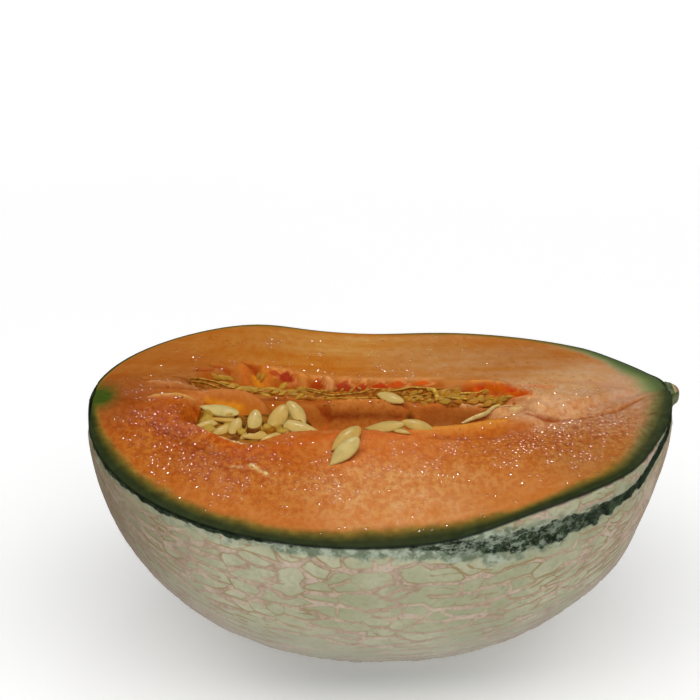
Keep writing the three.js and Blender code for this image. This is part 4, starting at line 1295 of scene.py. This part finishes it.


# Flat drops on the cut, of the flesh's own colour with painted shade where it is wet, darker and redder round
# each glint; thickest where the cut is wet
def makeJuice(material):
    draw = np.random.default_rng(21)
    n = juiceSettings["count"] * 24
    x, y = draw.uniform(-72, 72, n), draw.uniform(-64, 62, n)
    want = juiceSettings["elsewhere"] + inPlaces(x, y, wetPlaces)
    want = want * (0.15 + 1.7 * ramp(layers(x / 4, y / 3.4, 0.0, 501), 0.45, 0.65))
    keep = (rimGap(x, y) > 5 + 5 * ramp(x, 54, 66) + 4 * ramp(-x, 50, 64)) & (draw.random(n) < want * 0.7)
    x, y = x[keep], y[keep]
    apartX, apartY = juiceSettings["apart"]
    placed = np.zeros(len(x), bool)
    for k in range(len(x)):
        gaps = np.hypot((x[placed] - x[k]) / apartX, (y[placed] - y[k]) / apartY)
        placed[k] = gaps.min(initial=9) > 1
    x, y = x[placed], y[placed]
    slopeX, slopeY = slopes(faceHeight, x, y, 0.6)
    small, large = juiceSettings["radius"]
    size = small + (large - small) * draw.random(len(x)) ** 2
    fineX, fineY = slopes(lambda u, v: fleshSurface(u, v)[0], x, y, 0.4)
    roughX, roughY = fineX - slopeX, fineY - slopeY
    wall = slopeY > juiceSettings["wall"]
    level = (np.hypot(roughX, roughY) < 0.6) & (np.hypot(slopeX, slopeY) < 1.2) & (~wall | (size < 0.26))
    rows = [v[level][: juiceSettings["count"]] for v in (x, y, slopeX, slopeY, size, wall)]
    x, y, slopeX, slopeY, size, wall = rows
    follow = np.where(wall, 1, juiceSettings["follow"])
    slopeX, slopeY = slopeX * follow, slopeY * follow
    z, colour, wet, _ = fleshSurface(x, y)
    z = z + juiceSettings["raised"] + size * np.clip(-slopeY * 8, 0, 0.6) * ~wall
    # painted shade: wet drops darker and redder, for the dark rim round a drop's glint
    colour = colour * mix(1, np.array(juiceSettings["tint"]), np.minimum(1.5 * wet, 1)[:, None])
    sides = juiceSettings["sides"]
    a = np.linspace(0, 2 * np.pi, sides, endpoint=False)
    turn = draw.uniform(0, np.pi, len(x))[:, None]
    longer = 1 + 0.7 * draw.random(len(x))[:, None]
    points = []
    for wide, high in juiceSettings["rings"]:
        u, v = wide * np.cos(a)[None] * longer, wide * np.sin(a)[None] + 0 * longer
        dx = size[:, None] * (np.cos(turn) * u - np.sin(turn) * v)
        dy = size[:, None] * (np.sin(turn) * u + np.cos(turn) * v)
        dz = dx * slopeX[:, None] + dy * slopeY[:, None] + size[:, None] * high
        points.append(np.stack([x[:, None] + dx, y[:, None] + dy, z[:, None] + dz], -1))
    tip = np.stack([x, y, z + juiceSettings["tip"] * size], -1)[:, None]
    base = np.stack([x, y, z - 0.6 * size], -1)[:, None]
    drops = np.concatenate(points + [tip, base], 1)
    per = drops.shape[1]
    last = sides * (len(juiceSettings["rings"]) - 1)
    tipAt, baseAt = last + sides, last + sides + 1
    pattern = []
    for j in range(sides):
        k = (j + 1) % sides
        for ring in range(0, last, sides):
            pattern.append((ring + j, ring + k, ring + sides + k, ring + sides + j))
        pattern += [(last + j, last + k, tipAt), (k, j, baseAt)]
    faces = []
    for face in pattern:
        faces += (np.array(face)[None] + per * np.arange(len(x))[:, None]).tolist()
    tone = np.repeat(colour, per, axis=0)
    makePiece("juice", drops.reshape(-1, 3), faces, material, {"tone": tone}, ["melon_half"])


def juiceMaterial():
    coat = {"Coat_Weight": 0.6, "Coat_Roughness": 0.05}
    m = Shader("juice_drop", IOR=1.5, Roughness=0.05, Specular_IOR_Level=0.6, **coat)
    return m.finish(Base_Color=m.attribute("tone", colour=True))


makeJuice(juiceMaterial())
print("juice ready")

stubSettings = {"from": 73.2, "to": 77.5, "rings": 44, "sides": 72}


# Short stub that flares into the fruit, with ridges round it and a rounded, pitted end
def makeStub(material):
    s = stubSettings
    t = np.linspace(0, 1, s["rings"])[:, None]
    x = mix(s["from"], s["to"], ramp(t, -0.6, 1.0))
    a = np.linspace(0, 2 * np.pi, s["sides"], endpoint=False)[None]
    body = 3.1 + 5.2 * np.exp(-(x - 73.6) / 0.75)
    endRound = np.sqrt(np.clip(1 - ((x - 76.6) / 0.95).clip(0, 1) ** 2, 0.0, 1))
    radius = np.minimum(body, 8.5) * np.maximum(endRound, 0.18)
    radius = radius * (1 + 0.05 * np.sin(5 * a + 0.8 * x) + 0.06 * (noise(a * 2.4, x * 1.2, 0.0, 601) - 0.5))
    y, z = -radius * np.cos(a), -radius * np.sin(a)
    cut = plainFace(np.minimum(x, 75.0), 0.0 * x) + 0.25
    z = np.minimum(z, np.maximum(cut, 0.6 + 0 * x) - 0.5 * ramp(x, 75.4, 77.2))
    points, faces = loopsToSkin(np.stack([x + 0 * a, y, z], -1))
    atX = withTips(np.repeat(x[:, 0], s["sides"]), s["sides"])
    makePiece("stem_stub", points, faces, material, {"atX": atX}, ["melon_half"])


def stubMaterial():
    m = Shader("stem_skin", Roughness=0.6)
    place = m.attribute("atX")
    green = m.blend(m.grain(260, 3).between(0.4, 0.6), linear(58, 74, 32), linear(94, 100, 50))
    colour = m.blend(place.between(75.9, 76.3), green, linear(176, 168, 112))
    colour = m.blend(place.between(76.6, 76.9), colour, linear(150, 110, 88))
    return m.finish(Base_Color=colour, Normal=m.bump(m.grain(600, 3), 0.0003, 0.6))


makeStub(stubMaterial())
print("stem ready")
